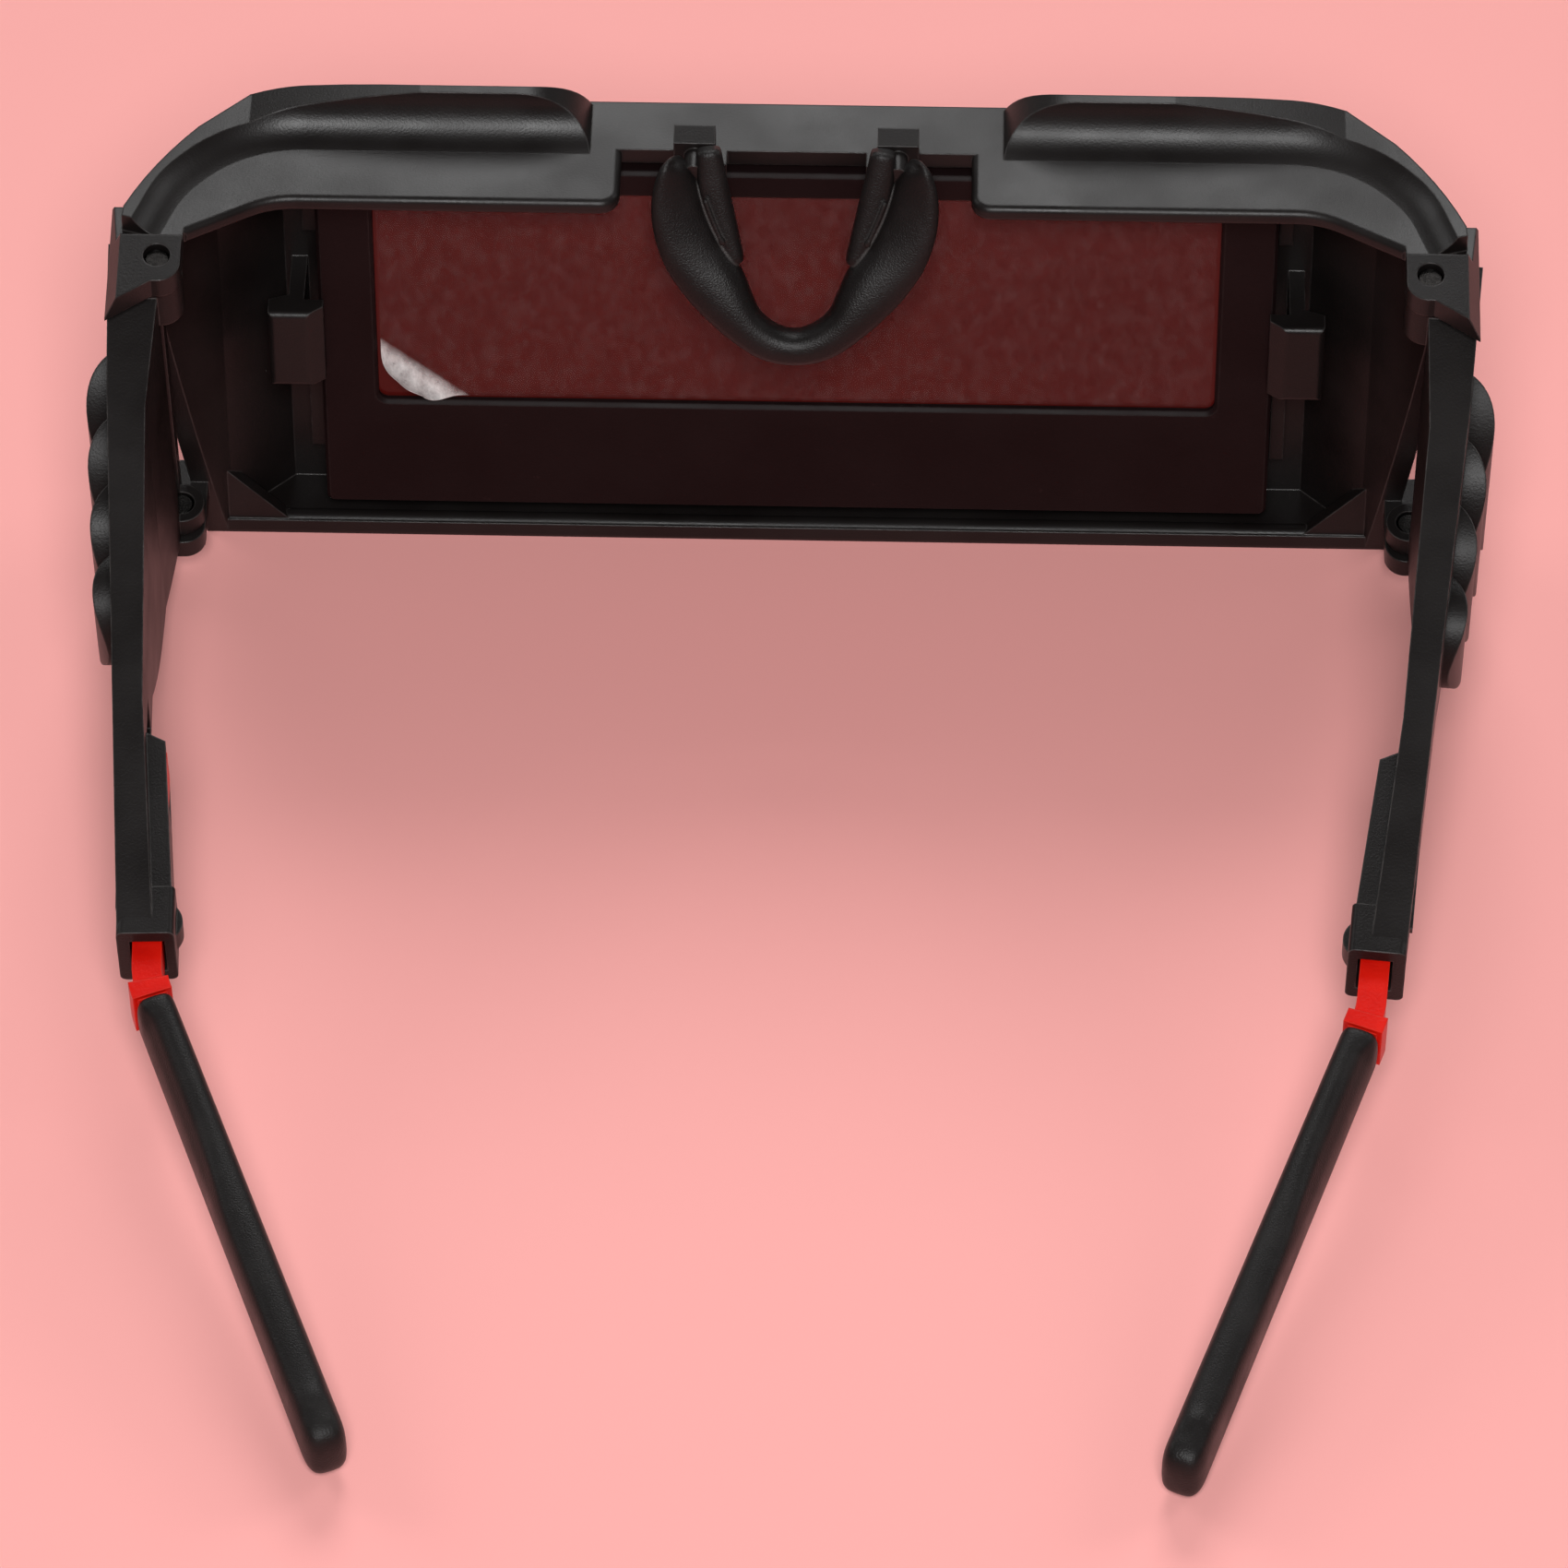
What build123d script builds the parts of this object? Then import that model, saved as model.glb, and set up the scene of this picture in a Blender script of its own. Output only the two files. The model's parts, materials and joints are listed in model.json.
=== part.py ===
from build123d import *
from math import cos, radians, sin, tan
import os

# Auto-darkening welding goggles, in millimetres, as they lie on a bench upside down:
# +X is the wearer's left, +Y is forward, +Z is up and points to the wearer's cheeks.
# The origin is the middle of the brow wall's flat outer face, which rests on the bench.
# Each temple is drawn in its own frame: s runs back along the arm from the hinge axis,
# t is outward from the axis, and w runs up along the axis, which leans back at the top.

# ---- Filter cartridge, a standard 4 1/4 by 2 inch plate ----
FILTER_WIDTH = 108.0
FILTER_HEIGHT = 51.0
FILTER_THICK = 5.4
WINDOW_SIDE = 6.4  # from the window to the cartridge's sides
WINDOW_EDGE = 3.65  # from the window to the cartridge's cheek edge
BAND_DEPTH = 15.85  # from the window to its brow edge, where the electronics are
WINDOW_CORNER = 1.2
CASE_REAR_WALL = 1.0
CASE_FRONT_WALL = 0.8
CASE_RIM = 1.2
GLASS_MARGIN = 2.0  # how far the glass reaches under the window's edge
POLARISER_THICK = 0.2
CELL_THICK = 0.9
GLASS_THICK = 1.0
FILM_THICK = 0.12
BOARD_THICK = 1.0
BATTERY_RADIUS = 5.0
BATTERY_THICK = 1.6
SOLAR_LENGTH = 36.0
SOLAR_THICK = 0.4
SENSOR_RADIUS = 1.5
INNER_GAP = 0.1

# ---- Front frame ----
FRONT_Y = 5.1  # front face, forward of the origin
WALL = 2.0
COVER_THICK = 1.2
PLATE_GAP = 0.3  # between the front wall, the cover plate and the cartridge
CHEEK_GAP = 0.5  # between the cartridge and the cheek wall
BROW_GAP = 2.5  # between the cartridge and the brow wall
BROW_DEPTH = 9.8  # brow wall, from the front face to its rear edge
STRIP_DEPTH = 8.0  # cheek wall over the nose, from the front face
FRONT_SPARE = 5.0  # flat front beyond the cartridge, each side
CORNER_WIDTH = 16.0  # sideways, from the flat front to the temples
OPENING_LIP = 4.0  # how far the front wall covers the plate's edge
LEDGE_DEPTH = 17.1  # from the front face to the cheek ledge's rim
NOSE_HALF = 19.5  # half the gap between the two cheek ledges
LEDGE_FLAT = 6.9  # flat width of the ledge behind the cove's foot
COVE_RISE = 5.2  # the cove's crest above the cheek wall
COVE_SINK = 0.15  # how far the cove's arc dips below the ledge
CREST_WIDTH = 1.2
SHOULDER_RISE = 2.2  # the crest above the cheek wall at the corners
COVE_END = 2.75  # the cove ends this far in front of the hinge axis, at that height
BEAD_RADIUS = 1.2
CLIP_HEIGHT = 11.0
CLIP_WIDTH = 6.2
CLIP_BITE = 0.6  # how far the clip's head covers the cartridge
NOSE_TAB_X = 11.3
NOSE_TAB_WIDTH = 4.6
NOSE_TAB_DEPTH = 3.8
NOSE_TAB_RISE = 4.5
NOSE_TAB_DROP = 1.6  # below the cheek wall's outer face
STUD_RADIUS = 1.1
STUD_LENGTH = 3.0
STUD_LEVEL = 2.1  # above the cheek wall's outer face
LIP_X = 8.2
LIP_WIDTH = 0.9
LIP_THICK = 0.9
LIP_BITE = 0.8  # how far the lip covers the cartridge
FIT_GAP = 0.2  # between the lips and the cartridge

# ---- Hinges ----
HINGE_TILT = 12.0  # degrees, the axis leans back towards the cheeks
HINGE_INSET = 5.0  # from the frame's side to the hinge axis
HINGE_BACK = 21.2  # from the front face to the axis at its reference height
HINGE_Z = 30.0  # reference height of the axis above the bench
PIN_RADIUS = 1.45
PIN_CLEARANCE = 0.05  # radial, in the knuckles
PIN_RECESS = 0.7
KNUCKLE_RADIUS = 2.6
UPPER_KNUCKLE = 6.4
LOWER_KNUCKLE = 2.6
LUG_INNER = 2.6  # how far the lug reaches inward of the axis
LUG_OUTER = 5.5
LUG_BEVEL = 1.4  # bevel along the upper lug's outer edge, sideways
UPPER_LUG_THICK = 3.0
LOWER_LUG_THICK = 2.8
LUG_REACH = 3.5  # behind the axis
LUG_EAR = 6.9  # the upper lug's outer corner, behind the axis
LUG_PROUD = 0.45  # the upper lug's top above the cheek wall, at the axis
LOWER_LUG_RISE = 6.1  # from the bench plane, along the axis
MOVING_GAP = 0.3  # between pieces that move past each other
SIDE_EDGE = 5.0  # the side wall ends this far in front of the axis

# ---- Temples ----
LEAN = {"left": 5.0, "right": 2.0}  # degrees that each arm leans inward at rest
ARM_START = -4.4
ARM_INNER = 1.35  # inner face, outward of the axis
ARM_NECK = 0.2  # inner face beside the axis
NECK_START = 3.0
NECK_END = 15.0
ARM_OUTER = 5.65  # outer face, outward of the axis
TAPER_START = 12.0
ARM_END_OUTER = 3.9  # outer face at the box end, outward of the axis
ARM_DROP = 0.6  # the arm's upper edge below its knuckle's top
BOX_END = 74.5
BOX_INNER = -2.3
BOX_LENGTH = 6.0
BOX_WALL = 1.7  # above and below the stem's channel
BOX_LIP = 0.5  # the box end stands this much above the arm
SHIELD_FOOT = 5.0  # where the shield's lower edge starts to rise
SHIELD_TAIL = 38.0  # where it meets the slim arm
SHIELD_SAG = 2.0  # how far its curved edge hangs between the two
HOUSING_START = 48.0
TONGUE_LENGTH = 4.2
TONGUE_WIDTH = 2.8
TONGUE_RISE = 0.7
LOUVRE_COUNT = 4
LOUVRE_START = 4.0
LOUVRE_PITCH = 7.9
LOUVRE_LAP = 1.4
LOUVRE_RISE = 2.8
LOUVRE_FALL = 0.2  # each louvre stands this much less than the one before
LOUVRE_STEP = 0.9  # height of the step at a louvre's rear edge
LOUVRE_MARGIN = 2.4  # from a louvre's ends to the arm's edges
RIB_RISE = 0.5
RIB_WIDTH = 1.2

# ---- Stems and ear sleeves ----
STEM_THICK = 3.2
STEM_HEIGHT = 5.4
STEM_START = 50.0
STEM_CENTRE = 0.7  # the stem's middle, outward of the axis
STEM_OUT = {"left": 2.0, "right": 0.0}  # how far each stem is drawn out at rest
BEND_ANGLE = {"left": 15.0, "right": 19.5}  # each core is bent by hand to fit
BEND_START = 77.0
BEND_RADIUS = 12.0
COLLAR_START = 79.4
COLLAR_LENGTH = 1.8
COLLAR_PROUD = 0.6
SLEEVE_START = 81.4
SLEEVE_THICK = 4.8
SLEEVE_HEIGHT = 8.6
SLEEVE_END = 137.0
CORE_THICK = 2.2
CORE_HEIGHT = 4.6
CORE_SHORT = 5.0  # the stem's core ends this far inside the sleeve
CORE_GAP = 0.05
STEM_TRAVEL = 6.0

# ---- Nose piece ----
NOSE_LEAN = 24.8  # degrees from upright, its closed end behind its two ends
NOSE_THICK = 4.0
NOSE_BACK = 14.2  # its closed end, behind the cheek wall's edge
NOSE_DROP = 14.2  # and below the cheek wall's outer face

# ---- Places worked out from the sizes above ----
COVER_Y = FRONT_Y - WALL - PLATE_GAP - COVER_THICK
FILTER_FRONT = COVER_Y - PLATE_GAP
FILTER_REAR = FILTER_FRONT - FILTER_THICK
WINDOW_WIDTH = FILTER_WIDTH - 2 * WINDOW_SIDE
WINDOW_HEIGHT = FILTER_HEIGHT - WINDOW_EDGE - BAND_DEPTH
FRAME_HEIGHT = 2 * WALL + BROW_GAP + FILTER_HEIGHT + CHEEK_GAP
FILTER_LOW = WALL + BROW_GAP
FILTER_HIGH = FILTER_LOW + FILTER_HEIGHT
FILTER_Z = (FILTER_LOW + FILTER_HIGH) / 2
WINDOW_Z = FILTER_HIGH - WINDOW_EDGE - WINDOW_HEIGHT / 2
FRONT_HALF = FILTER_WIDTH / 2 + FRONT_SPARE
FRAME_HALF = FRONT_HALF + CORNER_WIDTH
HINGE_X = FRAME_HALF - HINGE_INSET
HINGE_Y = FRONT_Y - HINGE_BACK
LEDGE_Y = FRONT_Y - LEDGE_DEPTH
STRIP_Y = FRONT_Y - STRIP_DEPTH
BROW_Y = FRONT_Y - BROW_DEPTH
AXIS = Vector(0, -sin(radians(HINGE_TILT)), cos(radians(HINGE_TILT)))
BACK = Vector(0, -cos(radians(HINGE_TILT)), -sin(radians(HINGE_TILT)))
LUG_TOP = (FRAME_HEIGHT - HINGE_Z) / cos(radians(HINGE_TILT)) + LUG_PROUD
LUG_LOW = LOWER_LUG_RISE - HINGE_Z / cos(radians(HINGE_TILT))
KNUCKLE_TOP = LUG_TOP - UPPER_LUG_THICK - MOVING_GAP
KNUCKLE_LOW = LUG_LOW + LOWER_LUG_THICK + MOVING_GAP
COVE_FOOT_Y = LEDGE_Y + LEDGE_FLAT
CREST_Z = FRAME_HEIGHT + COVE_RISE
TILT = radians(HINGE_TILT)
COVE_END_Y = HINGE_Y - (FRAME_HEIGHT - HINGE_Z) * tan(TILT) + COVE_END
HIGH = 3 * FRAME_HEIGHT  # taller than anything, for cuts that go right through
SIDES = {"left": 1, "right": -1}


def arm_lean(name):
    """Inward lean of a temple, as an angle about the hinge axis."""
    return radians(LEAN[name])


def hinge_point(side):
    return Vector(side * HINGE_X, HINGE_Y, HINGE_Z)


def square_plane(side, w, lean=0.0):
    """Plane square to the hinge axis at height w: x is s along the arm, y is t outward."""
    along = BACK * cos(lean) + Vector(-side, 0, 0) * sin(lean)
    return Plane(origin=hinge_point(side) + AXIS * w, x_dir=along, z_dir=AXIS * side)


def side_plane(side, t, lean=0.0):
    """Plane along the arm and the hinge axis at t: x is s, y is w, its normal is -X."""
    along = BACK * cos(lean) + Vector(-side, 0, 0) * sin(lean)
    outward = AXIS.cross(along) * side
    return Plane(origin=hinge_point(side) + outward * t, x_dir=along, z_dir=along.cross(AXIS))


def end_plane(side, s, lean=0.0):
    """Plane across the arm at s, facing back: x is t outward on the left, y is w."""
    along = BACK * cos(lean) + Vector(-side, 0, 0) * sin(lean)
    across = AXIS.cross(along)
    return Plane(origin=hinge_point(side) + along * s, x_dir=across, z_dir=across.cross(AXIS))


os.makedirs("parts", exist_ok=True)


def write(piece, name):
    piece.part.label = name
    export_step(piece.part, f"parts/{name}.step")


# The stem's line in the arm's own frame: straight, one bend inward, straight again.
def bend_end(name):
    """Where the bend ends, on a stem that isn't drawn out."""
    bend = radians(BEND_ANGLE[name])
    drop = BEND_RADIUS * (1 - cos(bend))
    return Vector(BEND_START + BEND_RADIUS * sin(bend), STEM_CENTRE - drop)


def on_stem(name, s):
    """Point of the stem's line at s, measured on a stem that isn't drawn out."""
    end = bend_end(name)
    if s <= BEND_START:
        t = STEM_CENTRE
    elif s < end.X:
        t = STEM_CENTRE - BEND_RADIUS + (BEND_RADIUS**2 - (s - BEND_START) ** 2) ** 0.5
    else:
        t = end.Y - (s - end.X) * tan(radians(BEND_ANGLE[name]))
    return (s + STEM_OUT[name], t)


def stem_line(name, start, end):
    """The stretch of the stem's line from start to end, for a BuildLine block."""
    arc_end = bend_end(name).X
    if start < BEND_START:
        Line(on_stem(name, start), on_stem(name, min(end, BEND_START)))
    if end > BEND_START and start < arc_end:
        low = max(start, BEND_START)
        high = min(end, arc_end)
        ThreePointArc(on_stem(name, low), on_stem(name, (low + high) / 2), on_stem(name, high))
    if end > arc_end:
        Line(on_stem(name, max(start, arc_end)), on_stem(name, end))


def tip_back(name):
    """How far behind the hinge axis, across it, a sleeve's tip lies."""
    s, t = on_stem(name, SLEEVE_END)
    return s * cos(arm_lean(name)) + t * sin(arm_lean(name))


# The stem's height along the hinge axis puts the longer arm's tip on the bench.
LONGEST = max(tip_back(name) for name in SIDES)
STEM_W = (LONGEST * sin(TILT) - HINGE_Z) / cos(TILT) + SLEEVE_HEIGHT / 2
CHANNEL_THICK = STEM_THICK + 2 * MOVING_GAP
CHANNEL_HEIGHT = STEM_HEIGHT + 2 * MOVING_GAP
ARM_LOW = STEM_W - CHANNEL_HEIGHT / 2 - BOX_WALL + BOX_LIP
ARM_HIGH = STEM_W + CHANNEL_HEIGHT / 2 + BOX_WALL - BOX_LIP


# ---- Front frame ----
CORNER_A = (FRONT_HALF, FRONT_Y)
CORNER_B = (FRONT_HALF + 0.47 * CORNER_WIDTH, FRONT_Y - 7.7)
CORNER_MID = (FRONT_HALF + 0.73 * CORNER_WIDTH, FRONT_Y - 14.0)
CORNER_C = (FRAME_HALF - 1.0, HINGE_Y)
SIDE_TAIL = (FRAME_HALF, HINGE_Y - 14.0)


def outline(inset=0.0):
    """Plan of the frame; drawn in by an inset, it is the space inside, open at the back."""
    with BuildSketch() as plan:
        with BuildLine():
            Polyline((0, SIDE_TAIL[1]), (0, FRONT_Y), CORNER_A, CORNER_B)
            ThreePointArc(CORNER_B, CORNER_MID, CORNER_C)
            Polyline(CORNER_C, SIDE_TAIL, (0, SIDE_TAIL[1]))
        make_face()
        mirror(about=Plane.YZ)
        if inset:
            offset(amount=-inset, kind=Kind.INTERSECTION)
            with Locations((0, SIDE_TAIL[1])):
                Rectangle(2 * (FRAME_HALF - inset) - 0.5, 3 * inset)
    return plan.sketch


def rim_points(side):
    """The cheek ledge's rear rim: nose end, corner, and the end at the lug."""
    nose_end = (side * NOSE_HALF, LEDGE_Y)
    turn = (side * (FRONT_HALF - 1.0), LEDGE_Y)
    lug_end = (side * (HINGE_X - LUG_INNER - 0.4), HINGE_Y - 1.5)
    return nose_end, turn, lug_end


def cheek_wall():
    """Cheek wall with its two ledges: a flat plate with a rounded rim."""
    with BuildPart() as plate:
        with BuildSketch(Plane.XY.offset(FRAME_HEIGHT - WALL)):
            add(outline())
            with BuildSketch(mode=Mode.INTERSECT):
                with BuildLine():
                    rim = FilletPolyline((NOSE_HALF, STRIP_Y), *rim_points(1), radius=[2.2, 9.0])
                    outer = FRAME_HALF + 1
                    Polyline(rim @ 1, (outer, HINGE_Y - 1.5), (outer, FRONT_Y + 1), (0, FRONT_Y + 1))
                    Polyline((0, FRONT_Y + 1), (0, STRIP_Y), (NOSE_HALF, STRIP_Y))
                make_face()
                mirror(about=Plane.YZ)
        extrude(amount=WALL)
        level = plate.edges().filter_by(lambda e: abs(e.bounding_box().size.Z) < 0.01)
        behind = level.filter_by(lambda e: e.center().Y < STRIP_Y - 1.0)
        fillet(behind.filter_by(lambda e: abs(e.center().X) < HINGE_X - LUG_INNER - 1.0), radius=0.85)
    return plate.part


def cove_path(side):
    """The cove's foot: along the ledge, round the corner, to the front of the hinge lug."""
    end = (side * (HINGE_X - 1.2), COVE_END_Y)
    corner = (side * (FRONT_HALF + 1.5), COVE_FOOT_Y)
    bend = (side * (HINGE_X - 3.4), COVE_FOOT_Y - 7.2)
    return (side * NOSE_HALF, COVE_FOOT_Y), corner, bend, end


def cheek_cove(side):
    """Cove that rises from the ledge to a crest, and slopes down to the front face."""
    radius = COVE_RISE + COVE_SINK
    with BuildPart() as cove:
        with BuildLine() as path:
            FilletPolyline(*cove_path(side), radius=[12.5, 12.0])
        nose_end = Vector(side * NOSE_HALF, COVE_FOOT_Y, FRAME_HEIGHT)
        # On this plane x runs forward from the foot and y runs up.
        with BuildSketch(Plane(origin=nose_end, x_dir=(0, 1, 0), z_dir=(1, 0, 0))):
            with BuildLine():
                toe = (-radius * sin(radians(8)), COVE_RISE - radius * cos(radians(8)))
                belly = (radius * sin(radians(45)), COVE_RISE - radius * cos(radians(45)))
                ThreePointArc(toe, belly, (radius, COVE_RISE))
                brink = (radius + CREST_WIDTH, COVE_RISE)
                slope_foot = (FRONT_Y - COVE_FOOT_Y - 0.5, -0.3)
                Line((radius, COVE_RISE), brink)
                ThreePointArc(brink, (brink[0] + 2.1, 0.55 * COVE_RISE), slope_foot)
                Polyline(slope_foot, (slope_foot[0], -WALL / 2), (toe[0], -WALL / 2), toe)
            make_face()
        sweep(path=path.line)
        # Its crest rises in an arc from the nose end and falls to the shoulder at the corner.
        with BuildSketch(Plane.XZ.offset(-FRONT_Y - 1)):
            with BuildLine():
                rise_foot = (side * (NOSE_HALF + 3.5), FRAME_HEIGHT - WALL)
                rise_start = (side * (NOSE_HALF + 3.5), FRAME_HEIGHT)
                rise_end = (side * (NOSE_HALF + 12.0), CREST_Z)
                rise_middle = (side * (NOSE_HALF + 6.1), FRAME_HEIGHT + 0.62 * COVE_RISE)
                ThreePointArc(rise_start, rise_middle, rise_end)
                fall_start = (side * (FRONT_HALF - 17.0), CREST_Z)
                fall_end = (side * (FRONT_HALF + 2.0), FRAME_HEIGHT + SHOULDER_RISE)
                fall_middle = (side * (FRONT_HALF - 7.5), (CREST_Z + fall_end[1]) / 2 + 0.25)
                Line(rise_end, fall_start)
                ThreePointArc(fall_start, fall_middle, fall_end)
                side_top = (side * (FRAME_HALF + 1), fall_end[1])
                Polyline(fall_end, side_top, (side_top[0], FRAME_HEIGHT - WALL), rise_foot, rise_start)
            make_face()
        extrude(amount=2 * FRAME_HALF, mode=Mode.INTERSECT)
    with BuildPart() as trimmed:
        with BuildSketch(Plane.XY.offset(FRAME_HEIGHT - WALL)):
            add(outline())
        extrude(amount=WALL + 2 * COVE_RISE)
        add(cove.part, mode=Mode.INTERSECT)
    return trimmed.part


def shell():
    """Front and side walls with the brow wall, cut off square in front of the hinges."""
    opening_width = FILTER_WIDTH - 2 * OPENING_LIP
    opening_height = FILTER_HEIGHT - 2 * OPENING_LIP + 1.5
    with BuildPart() as body:
        with BuildSketch():
            add(outline())
            add(outline(WALL), mode=Mode.SUBTRACT)
        extrude(amount=FRAME_HEIGHT)
        with BuildSketch():
            add(outline())
            with Locations((0, BROW_Y - FRAME_HALF)):
                Rectangle(4 * FRAME_HALF, 2 * FRAME_HALF, mode=Mode.SUBTRACT)
        extrude(amount=WALL)
        with BuildSketch(Plane.XZ.offset(-FRONT_Y)):
            with Locations((0, FILTER_Z)):
                RectangleRounded(opening_width, opening_height, 3.0)
        extrude(amount=WALL, mode=Mode.SUBTRACT)
        chamfer(body.faces().sort_by(Axis.Y)[-1].inner_wires()[0].edges(), length=1.0)
        with BuildSketch(side_plane(1, -3 * FRAME_HALF)):
            with Locations((FRAME_HALF - SIDE_EDGE, 0)):
                Rectangle(2 * FRAME_HALF, 4 * FRAME_HALF)
        extrude(amount=-6 * FRAME_HALF, mode=Mode.SUBTRACT)
        with BuildSketch(Plane.YZ.offset(-FRONT_HALF - 5)):
            with Locations((BROW_Y + BEAD_RADIUS, BEAD_RADIUS)):
                Circle(BEAD_RADIUS)
        extrude(amount=2 * (FRONT_HALF + 5))
    return body.part


def lug(side, low, thick, ear):
    """One hinge lug with its pin hole, square to the hinge axis."""
    front = -SIDE_EDGE - 3.0
    with BuildPart() as plate:
        with BuildSketch(square_plane(side, low)):
            with BuildLine():
                Polyline((front, -LUG_INNER), (LUG_REACH, -LUG_INNER), (LUG_REACH, 0.5))
                Polyline((LUG_REACH, 0.5), (ear, LUG_OUTER), (front, LUG_OUTER), (front, -LUG_INNER))
            make_face()
            Circle(PIN_RADIUS + PIN_CLEARANCE, mode=Mode.SUBTRACT)
        extrude(amount=side * thick)
        corner = square_plane(side, low + thick / 2).from_local_coords(Vector(LUG_REACH, -LUG_INNER))
        fillet(plate.edges().sort_by(lambda e: (e.center() - corner).length)[0], radius=2.4)
    return plate.part


def bevelled_lug(side):
    """The upper lug, bevelled along its outer edge like the frame's side."""
    low = LUG_TOP - UPPER_LUG_THICK
    start = -SIDE_EDGE - 4.0
    with BuildPart() as plate:
        add(lug(side, low, UPPER_LUG_THICK, LUG_EAR))
        with BuildSketch(end_plane(side, start)):
            with BuildLine():
                outer = side * (LUG_OUTER + 0.1)
                top = side * (LUG_OUTER - LUG_BEVEL)
                Polyline((outer, low + 0.2), (outer, LUG_TOP + 0.1), (top, LUG_TOP + 0.1), close=True)
            make_face()
        extrude(amount=LUG_EAR - start, mode=Mode.SUBTRACT)
        # In front of the cove's end the plate stays level with the cheek wall.
        with BuildSketch(Plane.XY.offset(FRAME_HEIGHT)):
            with Locations((side * HINGE_X, COVE_END_Y - 0.1)):
                Rectangle(4 * LUG_OUTER, LEDGE_DEPTH, align=(Align.CENTER, Align.MIN))
        extrude(amount=COVE_RISE, mode=Mode.SUBTRACT)
    return plate.part


def filter_clip(side):
    """Snap clip: a finger from the front wall with a rounded head over the cartridge."""
    root = FRONT_Y - WALL
    edge = FILTER_WIDTH / 2
    head_gap = 0.2
    with BuildPart() as clip:
        with BuildSketch(Plane.XY.offset(FILTER_Z - 5.0)):
            with BuildLine():
                back = FILTER_REAR - head_gap
                Polyline(
                    (side * (edge + 1.6), root + 0.5),
                    (side * (edge + 1.6), back),
                    (side * (edge - CLIP_BITE), back),
                    (side * (edge - CLIP_BITE), back - 1.2),
                    (side * (edge + 1.2), back - 2.6),
                    (side * (edge - CLIP_BITE + CLIP_WIDTH), back - 2.6),
                    (side * (edge - CLIP_BITE + CLIP_WIDTH), back),
                    (side * (edge + 3.4), back + 0.8),
                    (side * (edge + 3.4), root + 0.5),
                    close=True,
                )
            make_face()
        extrude(amount=CLIP_HEIGHT)
        ends = clip.edges().filter_by(lambda e: abs(e.center().Y - (FILTER_REAR - head_gap - 2.6)) < 0.05)
        fillet(ends, radius=0.7)
    return clip.part


def nose_tab(side):
    """Bracket on the cheek wall's rear edge, with a stud for the nose piece."""
    rear = STRIP_Y + 0.5 - NOSE_TAB_DEPTH
    with BuildPart() as tab:
        with BuildSketch(Plane.YZ.offset(side * NOSE_TAB_X - NOSE_TAB_WIDTH / 2)):
            with BuildLine():
                low = FRAME_HEIGHT - NOSE_TAB_DROP
                high = FRAME_HEIGHT + NOSE_TAB_RISE
                front = STRIP_Y + 0.5
                Polyline((front, low), (front, high - 2.2), (front - 1.4, high), (rear, high - 0.6))
                Polyline((rear, high - 0.6), (rear, low + 0.6), (front, low))
            make_face()
        extrude(amount=NOSE_TAB_WIDTH)
        with BuildSketch(Plane.XZ.offset(-rear)):
            with Locations((side * NOSE_TAB_X, FRAME_HEIGHT + STUD_LEVEL)):
                Circle(STUD_RADIUS)
        extrude(amount=STUD_LENGTH)
    return tab.part


def strip_lip(side):
    """Narrow lip from the cheek wall's edge, down behind the cartridge's cheek edge."""
    front = STRIP_Y + 0.5
    face = FILTER_REAR - FIT_GAP
    over = FILTER_HIGH + FIT_GAP
    with BuildPart() as lip:
        with BuildSketch(Plane.YZ.offset(side * LIP_X - LIP_WIDTH / 2)):
            with BuildLine():
                rear = face - LIP_THICK
                Polyline((front, over), (front, FRAME_HEIGHT), (rear, FRAME_HEIGHT))
                Polyline((rear, FRAME_HEIGHT), (rear, FILTER_HIGH - LIP_BITE), (face, FILTER_HIGH - LIP_BITE))
                Polyline((face, FILTER_HIGH - LIP_BITE), (face, over), (front, over))
            make_face()
        extrude(amount=LIP_WIDTH)
    return lip.part


def seat_ribs():
    """Ribs that carry the cartridge and the cover plate inside the front wall."""
    depth = FRONT_Y - WALL - FILTER_FRONT + 2.0
    middle = FRONT_Y - WALL + 0.3 - depth / 2
    with BuildPart() as ribs:
        with BuildSketch(Plane.XY.offset(WALL - 0.3)):
            with Locations((0, middle)):
                with GridLocations(0.25 * FILTER_WIDTH, 1, 4, 1):
                    Rectangle(1.6, depth)
        extrude(amount=BROW_GAP + 0.2)
        for level in (FILTER_LOW + 4.0, FILTER_HIGH - 14.0):
            with BuildSketch(Plane.XY.offset(level)):
                with Locations(*[(s * (FILTER_WIDTH / 2 + 1.1), FRONT_Y - WALL - 0.8) for s in (-1, 1)]):
                    Rectangle(1.6, 2.2)
            extrude(amount=10.0)
    return ribs.part


def corner_gussets():
    """Two webs that stiffen the corners between the brow wall and the side walls."""
    foot = FRONT_HALF + 7.0
    with BuildPart() as webs:
        with BuildSketch(Plane.XZ.offset(-BROW_Y - 1.9)):
            with BuildLine():
                Polyline((foot, WALL - 0.5), (foot, WALL + 8.0), (foot - 8.0, WALL - 0.5), close=True)
            make_face()
            mirror(about=Plane.YZ)
        extrude(amount=1.6)
    return webs.part


def mould_mark():
    """A plain raised arrowhead on the cheek wall over the nose."""
    with BuildPart() as mark:
        with BuildSketch(Plane.XY.offset(FRAME_HEIGHT - 0.1)):
            with BuildLine():
                ThreePointArc((0.4, 0.6), (2.6, 1.75), (5.0, 1.9))
                Line((5.0, 1.9), (4.6, -0.9))
                ThreePointArc((4.6, -0.9), (2.3, -0.35), (0.4, 0.6))
            make_face()
        extrude(amount=0.6, taper=20)
    return mark.part


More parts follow.
